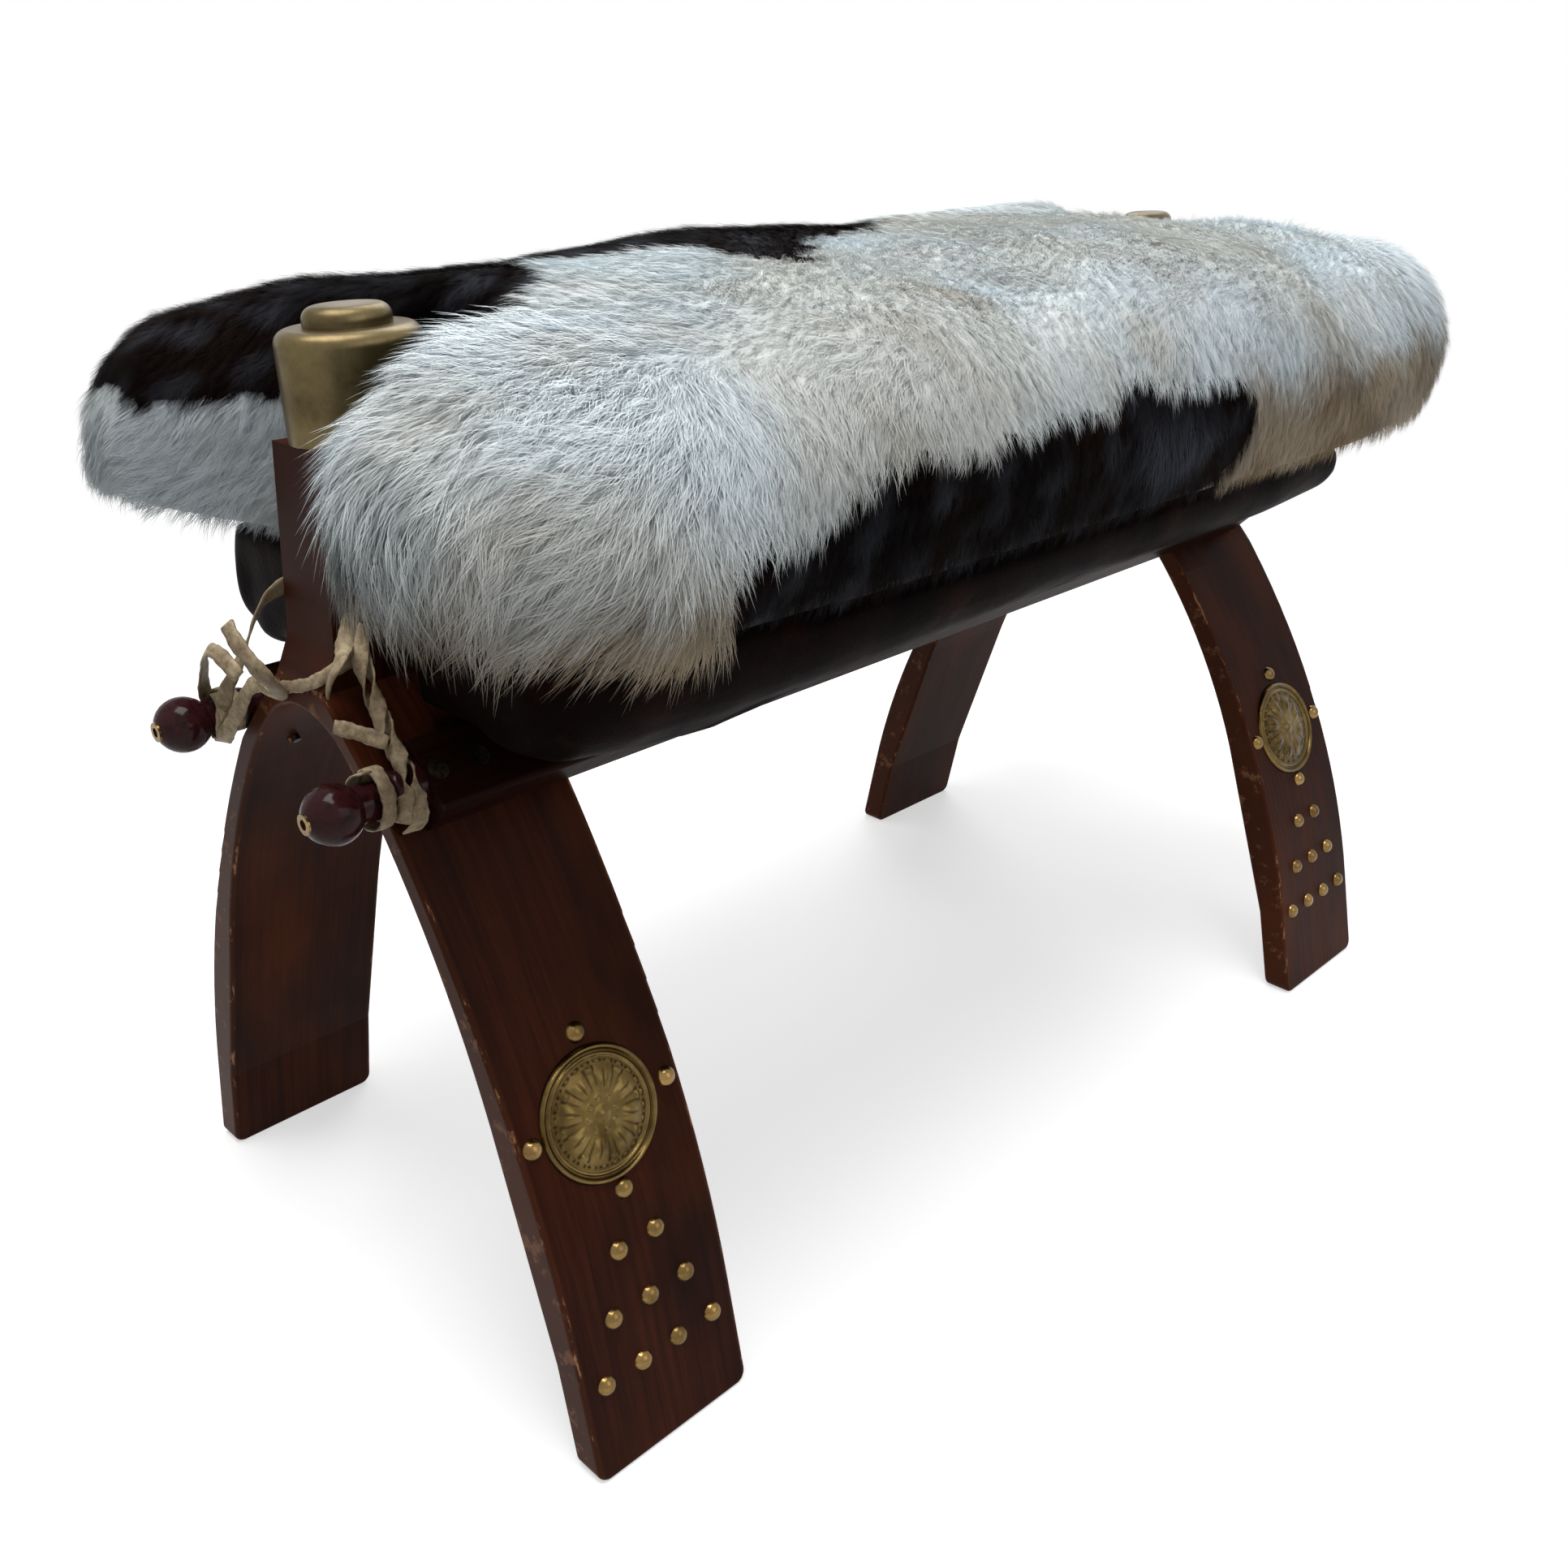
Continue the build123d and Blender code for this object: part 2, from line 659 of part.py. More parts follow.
def lashing_route():
    """Corners of the front lashing's route, and the bend at each of its inner corners."""
    hold = neck_radius + clearance + lace_radius
    face = -arch_centre - leg_half
    near = face - lace_stand_off
    cross = face - lace_cross_stand_off
    side_reach = horn_half_width + lace_stand_off
    back = -arch_centre + horn_half_depth(lace_back_height) + lace_stand_off
    corner_step = lace_pitch / 4
    right_corners = ((1, 1), (-1, 1), (-1, -1), (1, -1)) * 2 + ((1, 1),)
    left_corners = ((-1, 1), (-1, -1), (1, -1), (1, 1), (-1, 1), (-1, -1), (1, -1))
    far = near - corner_step * (len(right_corners) - 1)
    tail_reach = rail_axis_reach + hold + lace_tail_lean
    points = [(tail_reach, far, rail_axis_height - hold - lace_tail)]
    for number, (across, up) in enumerate(right_corners):
        points.append((rail_axis_reach + across * hold, far + number * corner_step,
                       rail_axis_height + up * hold))
    bends = [lace_wrap_bend] * len(right_corners)
    points.append((horn_half_width, near, lace_front_height))
    points.append((-horn_half_width, near, lace_front_height))
    bends += [lace_wrap_bend] * 2
    for number, (across, up) in enumerate(left_corners):
        points.append((-rail_axis_reach + across * hold, near - number * corner_step,
                       rail_axis_height + up * hold))
    bends += [lace_wrap_bend] * len(left_corners)
    points.append((-lace_cross_reach, cross, lace_cross_height))
    points.append((-side_reach, near + lace_stand_off, lace_side_height))
    points.append((-side_reach, back, lace_back_height))
    points.append((side_reach, back, lace_back_height))
    points.append((side_reach, near + lace_stand_off, lace_side_height))
    points.append((lace_cross_reach, cross, lace_cross_height))
    points.append((lace_end_reach, cross - lace_radius, lace_end_height))
    bends += [lace_bend] * 2 + [lace_corner_bend] * 2 + [lace_bend] * 2
    return points, bends


route_points, route_bends = lashing_route()
with BuildPart() as front_lashing:
    with BuildLine() as route:
        FilletPolyline(*route_points, radius=route_bends)
    lace_path = route.wires()[0]
    with BuildSketch(Plane(origin=lace_path @ 0, z_dir=lace_path % 0)):
        Circle(lace_radius)
    sweep(path=lace_path)
write(front_lashing.part, "front_lashing")
write(mirror(front_lashing.part, about=Plane.XZ), "rear_lashing")

spots = [lace_path.position_at(number / gap_samples) for number in range(gap_samples + 1)]
apart = round(lace_radius * 6 / lace_path.length * gap_samples)
least = min((spots[i] - spots[j]).length
            for i in range(len(spots)) for j in range(i + apart, len(spots)))
print("lashing length", round(lace_path.length), "least self gap", round(least - lace_radius * 2, 2))
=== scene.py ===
# %% [markdown]
# # Camel saddle stool
#
# A stool of arched wooden planks with a hair-on hide cushion on a leather pad. The wood and the
# brass were drawn as solids, so they are loaded as a fixed frame and only get their finishes here.
# What is soft or thin, the cushion, its fur, the pad, the rawhide and the relief on the medallions,
# is made in this file. The cushion reaches further back than forward, so the middle between the
# arches, from which their places are measured here, lies 14.35 mm in front of the origin.

# %% Load the frame
import math

import bpy
import bmesh
import numpy as np
from mathutils import Matrix, Vector


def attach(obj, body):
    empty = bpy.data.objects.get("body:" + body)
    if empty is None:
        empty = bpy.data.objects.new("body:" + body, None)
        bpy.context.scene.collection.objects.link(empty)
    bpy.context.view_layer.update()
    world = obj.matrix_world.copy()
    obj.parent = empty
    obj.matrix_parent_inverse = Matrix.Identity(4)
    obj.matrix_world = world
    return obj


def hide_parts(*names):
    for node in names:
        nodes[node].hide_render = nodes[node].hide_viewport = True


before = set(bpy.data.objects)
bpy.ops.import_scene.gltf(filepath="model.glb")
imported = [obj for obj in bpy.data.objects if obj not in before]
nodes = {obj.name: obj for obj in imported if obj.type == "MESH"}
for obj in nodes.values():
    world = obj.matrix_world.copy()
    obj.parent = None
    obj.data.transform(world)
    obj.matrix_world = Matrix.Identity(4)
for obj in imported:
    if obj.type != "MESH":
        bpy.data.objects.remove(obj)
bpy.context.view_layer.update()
mm = 0.001
middle = -14.35 * mm

# %% [markdown]
# ## Camera
#
# The stool is seen from its front right, a little from above. A camera looks along its own -Z axis,
# so its turn is built from three directions: to the right of the picture, up the picture, and back
# towards the viewer.

# %% Set the camera
azimuth = math.radians(45.218)
elevation = math.radians(25.08)
roll = math.radians(0.199)
camera_place = (0.56845, -0.60485 + middle, 0.55966)
back = Vector((math.sin(azimuth) * math.cos(elevation),
               -math.cos(azimuth) * math.cos(elevation), math.sin(elevation)))
level_right = (-back).cross(Vector((0, 0, 1))).normalized()
level_down = (-back).cross(level_right)
right = math.cos(roll) * level_right + math.sin(roll) * level_down
down = math.cos(roll) * level_down - math.sin(roll) * level_right
turn = Matrix((right, -down, back)).transposed().to_4x4()
camera = bpy.data.objects.new("camera", bpy.data.cameras.new("camera"))
camera.data.sensor_width = 36.0
camera.data.lens = 35.285
camera.data.clip_start = 0.01
camera.matrix_world = Matrix.Translation(camera_place) @ turn
bpy.context.scene.collection.objects.link(camera)
bpy.context.scene.camera = camera
bpy.context.scene.view_settings.view_transform = "Standard"
print("camera lens", camera.data.lens)

# %% [markdown]
# ## Light
#
# The stool stands in plain soft light. Three wide lamps give soft edges to the shadows: the key lamp
# is above and a little in front, and two weaker ones lift the side and the back.

# %% Make the lamps
def lamp(name, place, target, size, watts):
    """A square area lamp that faces a target."""
    light = bpy.data.lights.new(name, "AREA")
    light.shape = "SQUARE"
    light.size = size
    light.energy = watts
    item = bpy.data.objects.new(name, light)
    aim = Vector(target) - Vector(place)
    item.matrix_world = Matrix.Translation(place) @ aim.to_track_quat("-Z", "Y").to_matrix().to_4x4()
    bpy.context.scene.collection.objects.link(item)
    return item


lamps = [lamp("key_lamp", (0.15, -0.35, 2.1), (0, 0, 0.4), 1.1, 38),
         lamp("side_lamp", (1.9, 0.3, 1.2), (0, 0, 0.3), 1.3, 6),
         lamp("back_lamp", (-0.9, 1.3, 1.9), (0, 0, 0.4), 1.2, 14)]
print("lamps", len(lamps))

# %% [markdown]
# ## Helpers for finishes
#
# Every finish is made of shader nodes. A few short helpers add a node, join two nodes, and read the
# place on the piece, so that each finish below reads as a recipe.

# %% Helpers for shader nodes
def new_finish(name):
    """A material with its node tree and its main shader."""
    finish = bpy.data.materials.new(name)
    finish.use_nodes = True
    tree = finish.node_tree
    return finish, tree, tree.nodes["Principled BSDF"]


def put(tree, kind, settings=None, **inputs):
    """Adds a node, with its settings and its plain input values."""
    node = tree.nodes.new("ShaderNode" + kind)
    for key, value in (settings or {}).items():
        setattr(node, key, value)
    for key, value in inputs.items():
        node.inputs[key.replace("_", " ")].default_value = value
    return node


def srgb(red, green, blue):
    """A colour as seen on a screen, 0 to 255, turned into linear light."""
    def linear(value):
        share = value / 255
        return share / 12.92 if share <= 0.04045 else ((share + 0.055) / 1.055) ** 2.4
    return (linear(red), linear(green), linear(blue), 1.0)


def place_on(tree, stretch=(1, 1, 1)):
    """The place on the piece in metres from the middle between the arches, stretched."""
    where = put(tree, "TexCoord")
    mapping = put(tree, "Mapping", Location=(0, -middle * stretch[1], 0), Scale=stretch)
    tree.links.new(where.outputs["Object"], mapping.inputs["Vector"])
    return mapping.outputs["Vector"]


def grain(tree, stretch, scale, detail=4.0, roughness=0.55, distortion=0.0):
    """A noise pattern, from 0 to 1, over the stretched place."""
    pattern = put(tree, "TexNoise", Scale=scale, Detail=detail, Roughness=roughness,
                  Distortion=distortion)
    tree.links.new(place_on(tree, stretch), pattern.inputs["Vector"])
    return pattern.outputs["Fac"]


def ramp(tree, source, stops):
    """Colours by value: stops are pairs of place and colour."""
    node = put(tree, "ValToRGB")
    points = node.color_ramp.elements
    while len(points) < len(stops):
        points.new(0.5)
    for point, (place, colour) in zip(points, stops):
        point.position = place
        point.color = colour
    tree.links.new(source, node.inputs["Fac"])
    return node.outputs["Color"]


def step(tree, source, low, high, to_low=0.0, to_high=1.0):
    """Stretches the span low to high over to_low to to_high, and holds it at the ends."""
    node = put(tree, "MapRange", From_Min=low, From_Max=high, To_Min=to_low, To_Max=to_high)
    tree.links.new(source, node.inputs["Value"])
    return node.outputs["Result"]


def combine(tree, operation, first, second):
    """One calculation on two values, each a socket or a number."""
    node = put(tree, "Math", {"operation": operation})
    for socket, value in zip(node.inputs, (first, second)):
        if isinstance(value, (int, float)):
            socket.default_value = value
        else:
            tree.links.new(value, socket)
    return node.outputs[0]


def tint(tree, share, first, second, way="MIX"):
    """Mixes two colours by a share; each of the three is a socket or a plain value."""
    node = put(tree, "Mix", {"data_type": "RGBA", "blend_type": way})
    for socket, value in zip((node.inputs[0], node.inputs[6], node.inputs[7]),
                             (share, first, second)):
        if isinstance(value, (int, float, tuple)):
            socket.default_value = value
        else:
            tree.links.new(value, socket)
    return node.outputs[2]


def relief(tree, shader, height, depth, strength=1.0):
    """Turns a height pattern into small bumps on the surface."""
    bump = put(tree, "Bump", Strength=strength, Distance=depth)
    tree.links.new(height, bump.inputs["Height"])
    tree.links.new(bump.outputs["Normal"], shader.inputs["Normal"])
    return bump


def plain(shader, **values):
    """Sets plain values on a shader's inputs."""
    for key, value in values.items():
        shader.inputs[key.replace("_", " ")].default_value = value


def feed(tree, shader, **sources):
    """Joins patterns to a shader's inputs."""
    for key, source in sources.items():
        tree.links.new(source, shader.inputs[key.replace("_", " ")])


def seen_as_white(tree):
    """1 for rays from the camera, from glossy and from clear surfaces, and 0 for the rest."""
    path = put(tree, "LightPath")
    shines = combine(tree, "MAXIMUM", path.outputs["Is Glossy Ray"],
                     path.outputs["Is Transmission Ray"])
    return combine(tree, "MAXIMUM", path.outputs["Is Camera Ray"], shines)


print("helpers ready")

# %% [markdown]
# ## Sky
#
# The sky fills the shadows, and the picture's ground is white. Both can't come from one strength, so
# the sky is white only to rays that come from the camera or from glossy and clear surfaces. To all
# others it is dim, so it doesn't light the stool any harder.

# %% Make the sky
world = bpy.data.worlds.new("studio")
bpy.context.scene.world = world
world.use_nodes = True
sky = world.node_tree
sky.nodes.clear()
dim = put(sky, "Background", Color=(1, 1, 1, 1), Strength=0.27)
white_ground = put(sky, "Background", Color=(1, 1, 1, 1), Strength=1.0)
choose = put(sky, "MixShader")
for source, socket in zip((seen_as_white(sky), dim.outputs[0], white_ground.outputs[0]), choose.inputs):
    sky.links.new(source, socket)
sky.links.new(choose.outputs[0], put(sky, "OutputWorld").inputs[0])
print("sky nodes", len(sky.nodes))

# %% [markdown]
# ## Wood of the legs
#
# The planks are stained a deep red brown and varnished. The grain runs along the plank, up the leg
# and round the arch, and its lines are a millimetre or two apart across the plank. The plank's width
# lies along Y, so a noise that is stretched in X and Z and fine in Y gives the lines. The stain has
# rubbed off along the sharp edges.

# %% Distances along the stool
arch_place = 283.5 * mm
plank_half_width = 43.5 * mm


def reach_along(tree):
    """How far a point is from the middle between the arches, in metres, along Y."""
    parts = put(tree, "SeparateXYZ")
    tree.links.new(place_on(tree), parts.inputs[0])
    return combine(tree, "ABSOLUTE", parts.outputs["Y"], 0.0)


def arch_distance(tree):
    """How far a point is from the middle line of its arch, in metres, along Y."""
    return combine(tree, "ABSOLUTE", combine(tree, "SUBTRACT", reach_along(tree), arch_place), 0.0)


print("arches at", arch_place)

# %% Stained wood
leg_wood, tree, shader = new_finish("leg_wood")
lines = grain(tree, (7, 260, 7), 1.0, 6.0, 0.6, 0.35)
clouds = grain(tree, (9, 22, 9), 1.0, 3.0)
pores = grain(tree, (40, 1400, 40), 1.0, 3.0, 0.5)
base = ramp(tree, lines, [(0.30, srgb(40, 16, 9)), (0.48, srgb(56, 24, 13)),
                          (0.60, srgb(66, 31, 17)), (0.78, srgb(44, 18, 9))])
warm = grain(tree, (6, 14, 6), 1.0, 2.0)
warmer = tint(tree, step(tree, warm, 0.48, 0.66, 0.0, 0.5), base, srgb(92, 46, 20))
cloudy = tint(tree, step(tree, clouds, 0.38, 0.66, 0.0, 0.75), warmer, srgb(26, 9, 5))
pored = tint(tree, step(tree, pores, 0.60, 0.72, 0.0, 0.35), cloudy, srgb(20, 7, 4))
edge = arch_distance(tree)
chips = grain(tree, (60, 300, 60), 1.0, 5.0, 0.7)
inner = step(tree, edge, plank_half_width - 2.2 * mm, plank_half_width - 1.2 * mm)
outer = step(tree, edge, plank_half_width + 0.3 * mm, plank_half_width - 0.5 * mm)
edge_line = combine(tree, "MULTIPLY", inner, outer)
worn = combine(tree, "MULTIPLY", edge_line, step(tree, chips, 0.56, 0.64))
# A lighter band along each plank edge: partly rubbed stain, partly painted highlight on the rounded edge.
near_edge = step(tree, edge, plank_half_width - 3.0 * mm, plank_half_width - 1.5 * mm)
rubbed_and_highlit = combine(tree, "MULTIPLY", near_edge, 0.22)
edge_tone = tint(tree, rubbed_and_highlit, pored, srgb(104, 62, 42))
feed(tree, shader, Base_Color=tint(tree, worn, edge_tone, srgb(168, 118, 86)),
     Roughness=step(tree, lines, 0.2, 0.8, 0.34, 0.5))
plain(shader, Specular_IOR_Level=0.04)
relief(tree, shader, combine(tree, "ADD", lines, combine(tree, "MULTIPLY", pores, 0.4)), 0.0002, 0.5)
print("leg wood nodes", len(tree.nodes))

# %% [markdown]
# ## Wood of the rails
#
# The side rails are darker than the legs. Their turned ends shine more, a maroon lacquer with small
# dents. The ends start at 313 mm from the middle, so the distance along Y tells bar from knob.

# %% Rail wood
rail_wood, tree, shader = new_finish("rail_wood")
knob_start = 313 * mm
knob_share = step(tree, reach_along(tree), knob_start - 0.2 * mm, knob_start + 1.0 * mm)
lines = grain(tree, (200, 6, 200), 1.0, 5.0, 0.6, 0.4)
bar_colour = ramp(tree, lines, [(0.3, srgb(14, 6, 4)), (0.55, srgb(36, 17, 12)),
                                (0.75, srgb(24, 11, 8))])
dents = grain(tree, (150, 150, 150), 1.0, 4.0, 0.6)
knob_colour = ramp(tree, dents, [(0.3, srgb(22, 8, 9)), (0.52, srgb(54, 22, 24)),
                                 (0.72, srgb(34, 12, 14))])
feed(tree, shader, Base_Color=tint(tree, knob_share, bar_colour, knob_colour),
     Roughness=step(tree, knob_share, 0, 1, 0.42, 0.2),
     Coat_Weight=step(tree, knob_share, 0, 1, 0.0, 0.18))
plain(shader, Specular_IOR_Level=0.02, Coat_Roughness=0.12)
relief(tree, shader, combine(tree, "ADD", combine(tree, "MULTIPLY", lines, 0.4), dents), 0.0006, 0.5)
print("rail wood nodes", len(tree.nodes))

# %% Plain wood of the dowels
dowel_wood, tree, shader = new_finish("dowel_wood")
lines = grain(tree, (20, 700, 700), 1.0, 4.0)
feed(tree, shader, Base_Color=ramp(tree, lines, [(0.3, srgb(150, 110, 70)),
                                                 (0.7, srgb(190, 150, 104))]))
plain(shader, Roughness=0.6)
print("dowel wood nodes", len(tree.nodes))

# %% [markdown]
# ## Brass
#
# The caps have gone dull and greenish, the medallions and nails are brighter and yellower. Both are
# the same recipe: a metal whose colour and gloss vary with a cloudy noise, as handled brass does.

# %% Two kinds of brass
def brass(name, dark, light, rough_low, rough_high, metallic):
    """Aged brass between a dark and a light tone."""
    finish, tree, shader = new_finish(name)
    clouds = grain(tree, (38, 38, 38), 1.0, 5.0, 0.6)
    specks = grain(tree, (700, 700, 700), 1.0, 2.0)
    base = ramp(tree, clouds, [(0.32, dark), (0.66, light)])
    spotted = tint(tree, step(tree, specks, 0.62, 0.72, 0.0, 0.35), base, dark)
    feed(tree, shader, Base_Color=spotted,
         Roughness=step(tree, clouds, 0.3, 0.7, rough_high, rough_low))
    plain(shader, Metallic=metallic)
    relief(tree, shader, specks, 0.00012, 0.35)
    return finish


cap_brass = brass("cap_brass", srgb(74, 62, 38), srgb(116, 102, 68), 0.28, 0.44, 0.8)
ornament_brass = brass("ornament_brass", srgb(78, 60, 32), srgb(148, 120, 74), 0.16, 0.32, 1.0)
screw_steel, tree, shader = new_finish("screw_steel")
rust = grain(tree, (260, 260, 260), 1.0, 4.0)
feed(tree, shader, Base_Color=ramp(tree, rust, [(0.4, srgb(30, 20, 16)), (0.65, srgb(66, 54, 46))]))
plain(shader, Metallic=0.85, Roughness=0.45)
print("brass and steel ready")

# %% Dress the fixed solids
def dress(finish, *names):
    """Gives a finish to frame solids by name."""
    for name in names:
        for one in nodes[name].material_slots:
            one.material = finish


ends = ("front", "rear")
hands = ("right", "left")
dress(leg_wood, *[f"{end}_{hand}_leg" for end in ends for hand in hands])
dress(rail_wood, "right_side_rail", "left_side_rail")
dress(dowel_wood, "horn_dowels")
dress(cap_brass, "front_horn_cap", "rear_horn_cap")
dress(ornament_brass, "knob_tip_rings", *[f"{end}_{hand}_nails" for end in ends for hand in hands])
dress(screw_steel, "rail_screws")
print("dressed", sum(1 for item in nodes.values() if item.material_slots))

# %% [markdown]
# ## Mesh helpers
#
# New pieces are plain meshes whose points are already where the piece is, so every object stays at
# the origin. Most are grids of points, row by row, that are joined into faces.

# %% Helpers for meshes
def new_piece(name, points, faces, finish, smooth=True):
    """A mesh object at the origin, from points and faces."""
    mesh = bpy.data.meshes.new(name)
    mesh.from_pydata([tuple(point) for point in points], [], faces)
    mesh.validate()
    mesh.materials.append(finish)
    if smooth:
        mesh.shade_smooth()
    item = bpy.data.objects.new(name, mesh)
    bpy.context.scene.collection.objects.link(item)
    return item


def grid_faces(rows, columns, ring=False, start=0):
    """Faces between neighbouring rows of points; a ring joins the last column to the first."""
    faces = []
    spans = columns if ring else columns - 1
    for row in range(rows - 1):
        for column in range(spans):
            after = (column + 1) % columns
            low = start + row * columns
            faces.append((low + column, low + after, low + columns + after, low + columns + column))
    return faces


def face_outwards(item):
    """Turns the faces of a closed piece outwards."""
    work = bmesh.new()
    work.from_mesh(item.data)
    bmesh.ops.recalc_face_normals(work, faces=work.faces)
    work.to_mesh(item.data)
    work.free()


def points_of(item):
    """All points of a mesh as an array."""
    flat = np.zeros(len(item.data.vertices) * 3)
    item.data.vertices.foreach_get("co", flat)
    return flat.reshape(-1, 3)


print("mesh helpers ready")

# %% [markdown]
# ## Medallions
#
# Each leg carries a stamped brass disc: a rolled double rim round a domed field. The stamping is a
# plain rosette of petals and beads. A disc is a polar grid, so its height can be written as a sum of
# simple shapes of radius and angle: a rim is a bump in the radius, a petal is a bump in both.

# %% Height of the stamping
disc_radius = 30.4 * mm
disc_rings = 76
disc_spokes = 240


def ridge(distance, centre, half_width):
    """A smooth ridge of height 1 round a centre distance."""
    share = np.clip(np.abs(distance - centre) / half_width, 0, 1)
    return (1 - share ** 2) ** 2


def stamping(radius, angle):
    """Height of the medallion's relief above its flat back, in metres."""
    share = radius / disc_radius
    height = 1.0 * mm + 2.6 * mm * np.clip(1 - (share / 0.80) ** 2, 0, 1)
    height += 1.7 * mm * ridge(share, 0.945, 0.060)
    height += 1.0 * mm * ridge(share, 0.835, 0.040)
    beads = np.cos(angle * 24)
    height += 0.5 * mm * ridge(share, 0.745, 0.035) * np.clip(beads, 0, 1)
    petal = np.abs(((angle * 8 / math.tau) % 1) - 0.5) * 2
    leaf = ridge(share, 0.50, 0.20) * np.clip(1 - (petal / 0.72) ** 2, 0, 1)
    height += 1.15 * mm * leaf
    height -= 0.35 * mm * ridge(share, 0.50, 0.17) * (petal < 0.10)
    between = np.abs((((angle + math.tau / 16) * 8 / math.tau) % 1) - 0.5) * 2
    height += 0.8 * mm * ridge(share, 0.655, 0.06) * np.clip(1 - (between / 0.30) ** 2, 0, 1)
    height += 1.3 * mm * ridge(share, 0.0, 0.15)
    height += 0.6 * mm * ridge(share, 0.235, 0.05) * np.clip(np.cos(angle * 8), 0, 1)
    fall = np.clip((1 - share) / 0.035, 0, 1)
    return height * np.sqrt(1 - (1 - fall) ** 2)


print("relief rises", round(float(stamping(np.array([0.0]), np.array([0.0]))[0]) / mm, 2), "mm")

# %% Make the medallions
medal_brass, tree, shader = new_finish("medal_brass")
# The stored hollow share darkens the recesses and the low field of the stamping: partly tarnish, partly
# painted shade.
tarnish_and_shade = put(tree, "Attribute", {"attribute_name": "hollow"})
clouds = grain(tree, (60, 60, 60), 1.0, 5.0, 0.6)
bright = ramp(tree, clouds, [(0.3, srgb(66, 52, 27)), (0.7, srgb(118, 98, 58))])
feed(tree, shader, Base_Color=tint(tree, tarnish_and_shade.outputs["Fac"], bright, srgb(34, 24, 11)),
     Roughness=step(tree, clouds, 0.3, 0.7, 0.30, 0.18))
plain(shader, Metallic=1.0)
relief(tree, shader, grain(tree, (500, 500, 500), 1.0, 3.0), 0.00015, 0.4)


def make_medallion(node_name):
    """A stamped disc on the place and slope of a frame medallion."""
    cad = points_of(nodes[node_name])
    centre = cad.mean(axis=0)
    axes = np.linalg.svd(cad - centre, full_matrices=False)[2]
    normal = Vector(axes[2])
    if normal.x * centre[0] < 0:
        normal = -normal
    radial = (cad - centre) - np.outer((cad - centre) @ np.array(normal), np.array(normal))
    rim = np.linalg.norm(radial, axis=1) > disc_radius * 0.985
    flat_back = Vector(cad[rim].mean(axis=0))
    side = Vector((0, 1, 0))
    up = normal.cross(side).normalized()
    low = min((Vector(point) - flat_back).dot(normal) for point in cad[rim])
    origin = flat_back + normal * low
    angles = np.arange(disc_spokes) * math.tau / disc_spokes
    radii = disc_radius * np.linspace(0, 1, disc_rings + 1)[1:]
    points = [origin + normal * float(stamping(np.array([0.0]), np.array([0.0]))[0])]
    hollow = [0.0]
    for radius in radii:
        heights = stamping(np.full(disc_spokes, radius), angles)
        # The hollow share is partly tarnish and partly painted shade: darkest in the recesses, the valley
        # inside the rim and the low field.
        smooth = (np.roll(heights, 2) + np.roll(heights, -2)) / 2
        deeper = np.clip((smooth - heights) / (0.12 * mm), 0, 1)
        for angle, height, shade in zip(angles, heights, deeper):
            spoke = side * math.cos(angle) + up * math.sin(angle)
            points.append(origin + spoke * float(radius) + normal * float(height))
            share = radius / disc_radius
            valley = float(ridge(np.array([share]), 0.89, 0.03)[0]) * 0.8
            low_field = max(0.0, 1 - float(height) / (3.0 * mm)) * (share < 0.8)
            hollow.append(min(1.0, float(shade) * 0.6 + valley + low_field * 0.7))
    count = len(points)
    points.append(origin)
    faces = [(0, 1 + column, 1 + (column + 1) % disc_spokes) for column in range(disc_spokes)]
    faces += grid_faces(disc_rings, disc_spokes, ring=True, start=1)
    last = count - disc_spokes
    faces += [(last + (column + 1) % disc_spokes, last + column, count)
              for column in range(disc_spokes)]
    hollow.append(0.5)
    item = new_piece("stamped_" + node_name, points, faces, medal_brass)
    item.data.attributes.new("hollow", "FLOAT", "POINT").data.foreach_set("value", hollow)
    face_outwards(item)
    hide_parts(node_name)
    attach(item, "frame")
    return item


for end in ends:
    for hand in hands:
        disc = make_medallion(f"{end}_{hand}_medallion")
print("medallion faces", len(disc.data.polygons))

# %% [markdown]
# ## Soft pieces: from a plain solid to a stuffed form
#
# The frame holds a plain solid for the filling of the cushion and of the pad. A copy of it is meshed
# evenly and blown up a little by a cloth simulation, the way a cover is stretched by its filling. No
# point may move further than a cap, so the form keeps its size. One subdivision makes it smooth.

# %% Helpers for soft pieces
def applied(item):
    """Applies an object's modifiers to its mesh."""
    view = bpy.context.evaluated_depsgraph_get()
    mesh = bpy.data.meshes.new_from_object(item.evaluated_get(view))
    item.modifiers.clear()
    item.data = mesh
    return item


def even_copy(name, source, voxel):
    """A closed copy of a frame solid with evenly spread points."""
    item = bpy.data.objects.new(name, nodes[source].data.copy())
    bpy.context.scene.collection.objects.link(item)
    work = bmesh.new()
    work.from_mesh(item.data)
    bmesh.ops.remove_doubles(work, verts=work.verts, dist=0.00002)
    bmesh.ops.recalc_face_normals(work, faces=work.faces)
    work.to_mesh(item.data)
    work.free()
    remesh = item.modifiers.new("even", "REMESH")
    remesh.mode = "VOXEL"
    remesh.voxel_size = voxel
    return applied(item)


def puff_up(item, cap, frames=20):
    """Blows the form up by cloth pressure, no point further than the cap."""
    rest = points_of(item)
    cloth = item.modifiers.new("puff", "CLOTH")
    cloth.settings.use_pressure = True
    cloth.settings.uniform_pressure_force = 4.0
    cloth.settings.effector_weights.gravity = 0.0
    for count in range(1, frames + 1):
        bpy.context.scene.frame_set(count)
    applied(item)
    shift = points_of(item) - rest
    length = np.linalg.norm(shift, axis=1, keepdims=True)
    shift *= np.minimum(1.0, cap / np.maximum(length, 1e-9))
    item.data.vertices.foreach_set("co", (rest + shift).ravel())
    bpy.context.scene.frame_set(1)
    return item


def smoother(item):
    """One subdivision, applied."""
    divide = item.modifiers.new("divide", "SUBSURF")
    divide.levels = 1
    divide.render_levels = 1
    return applied(item)


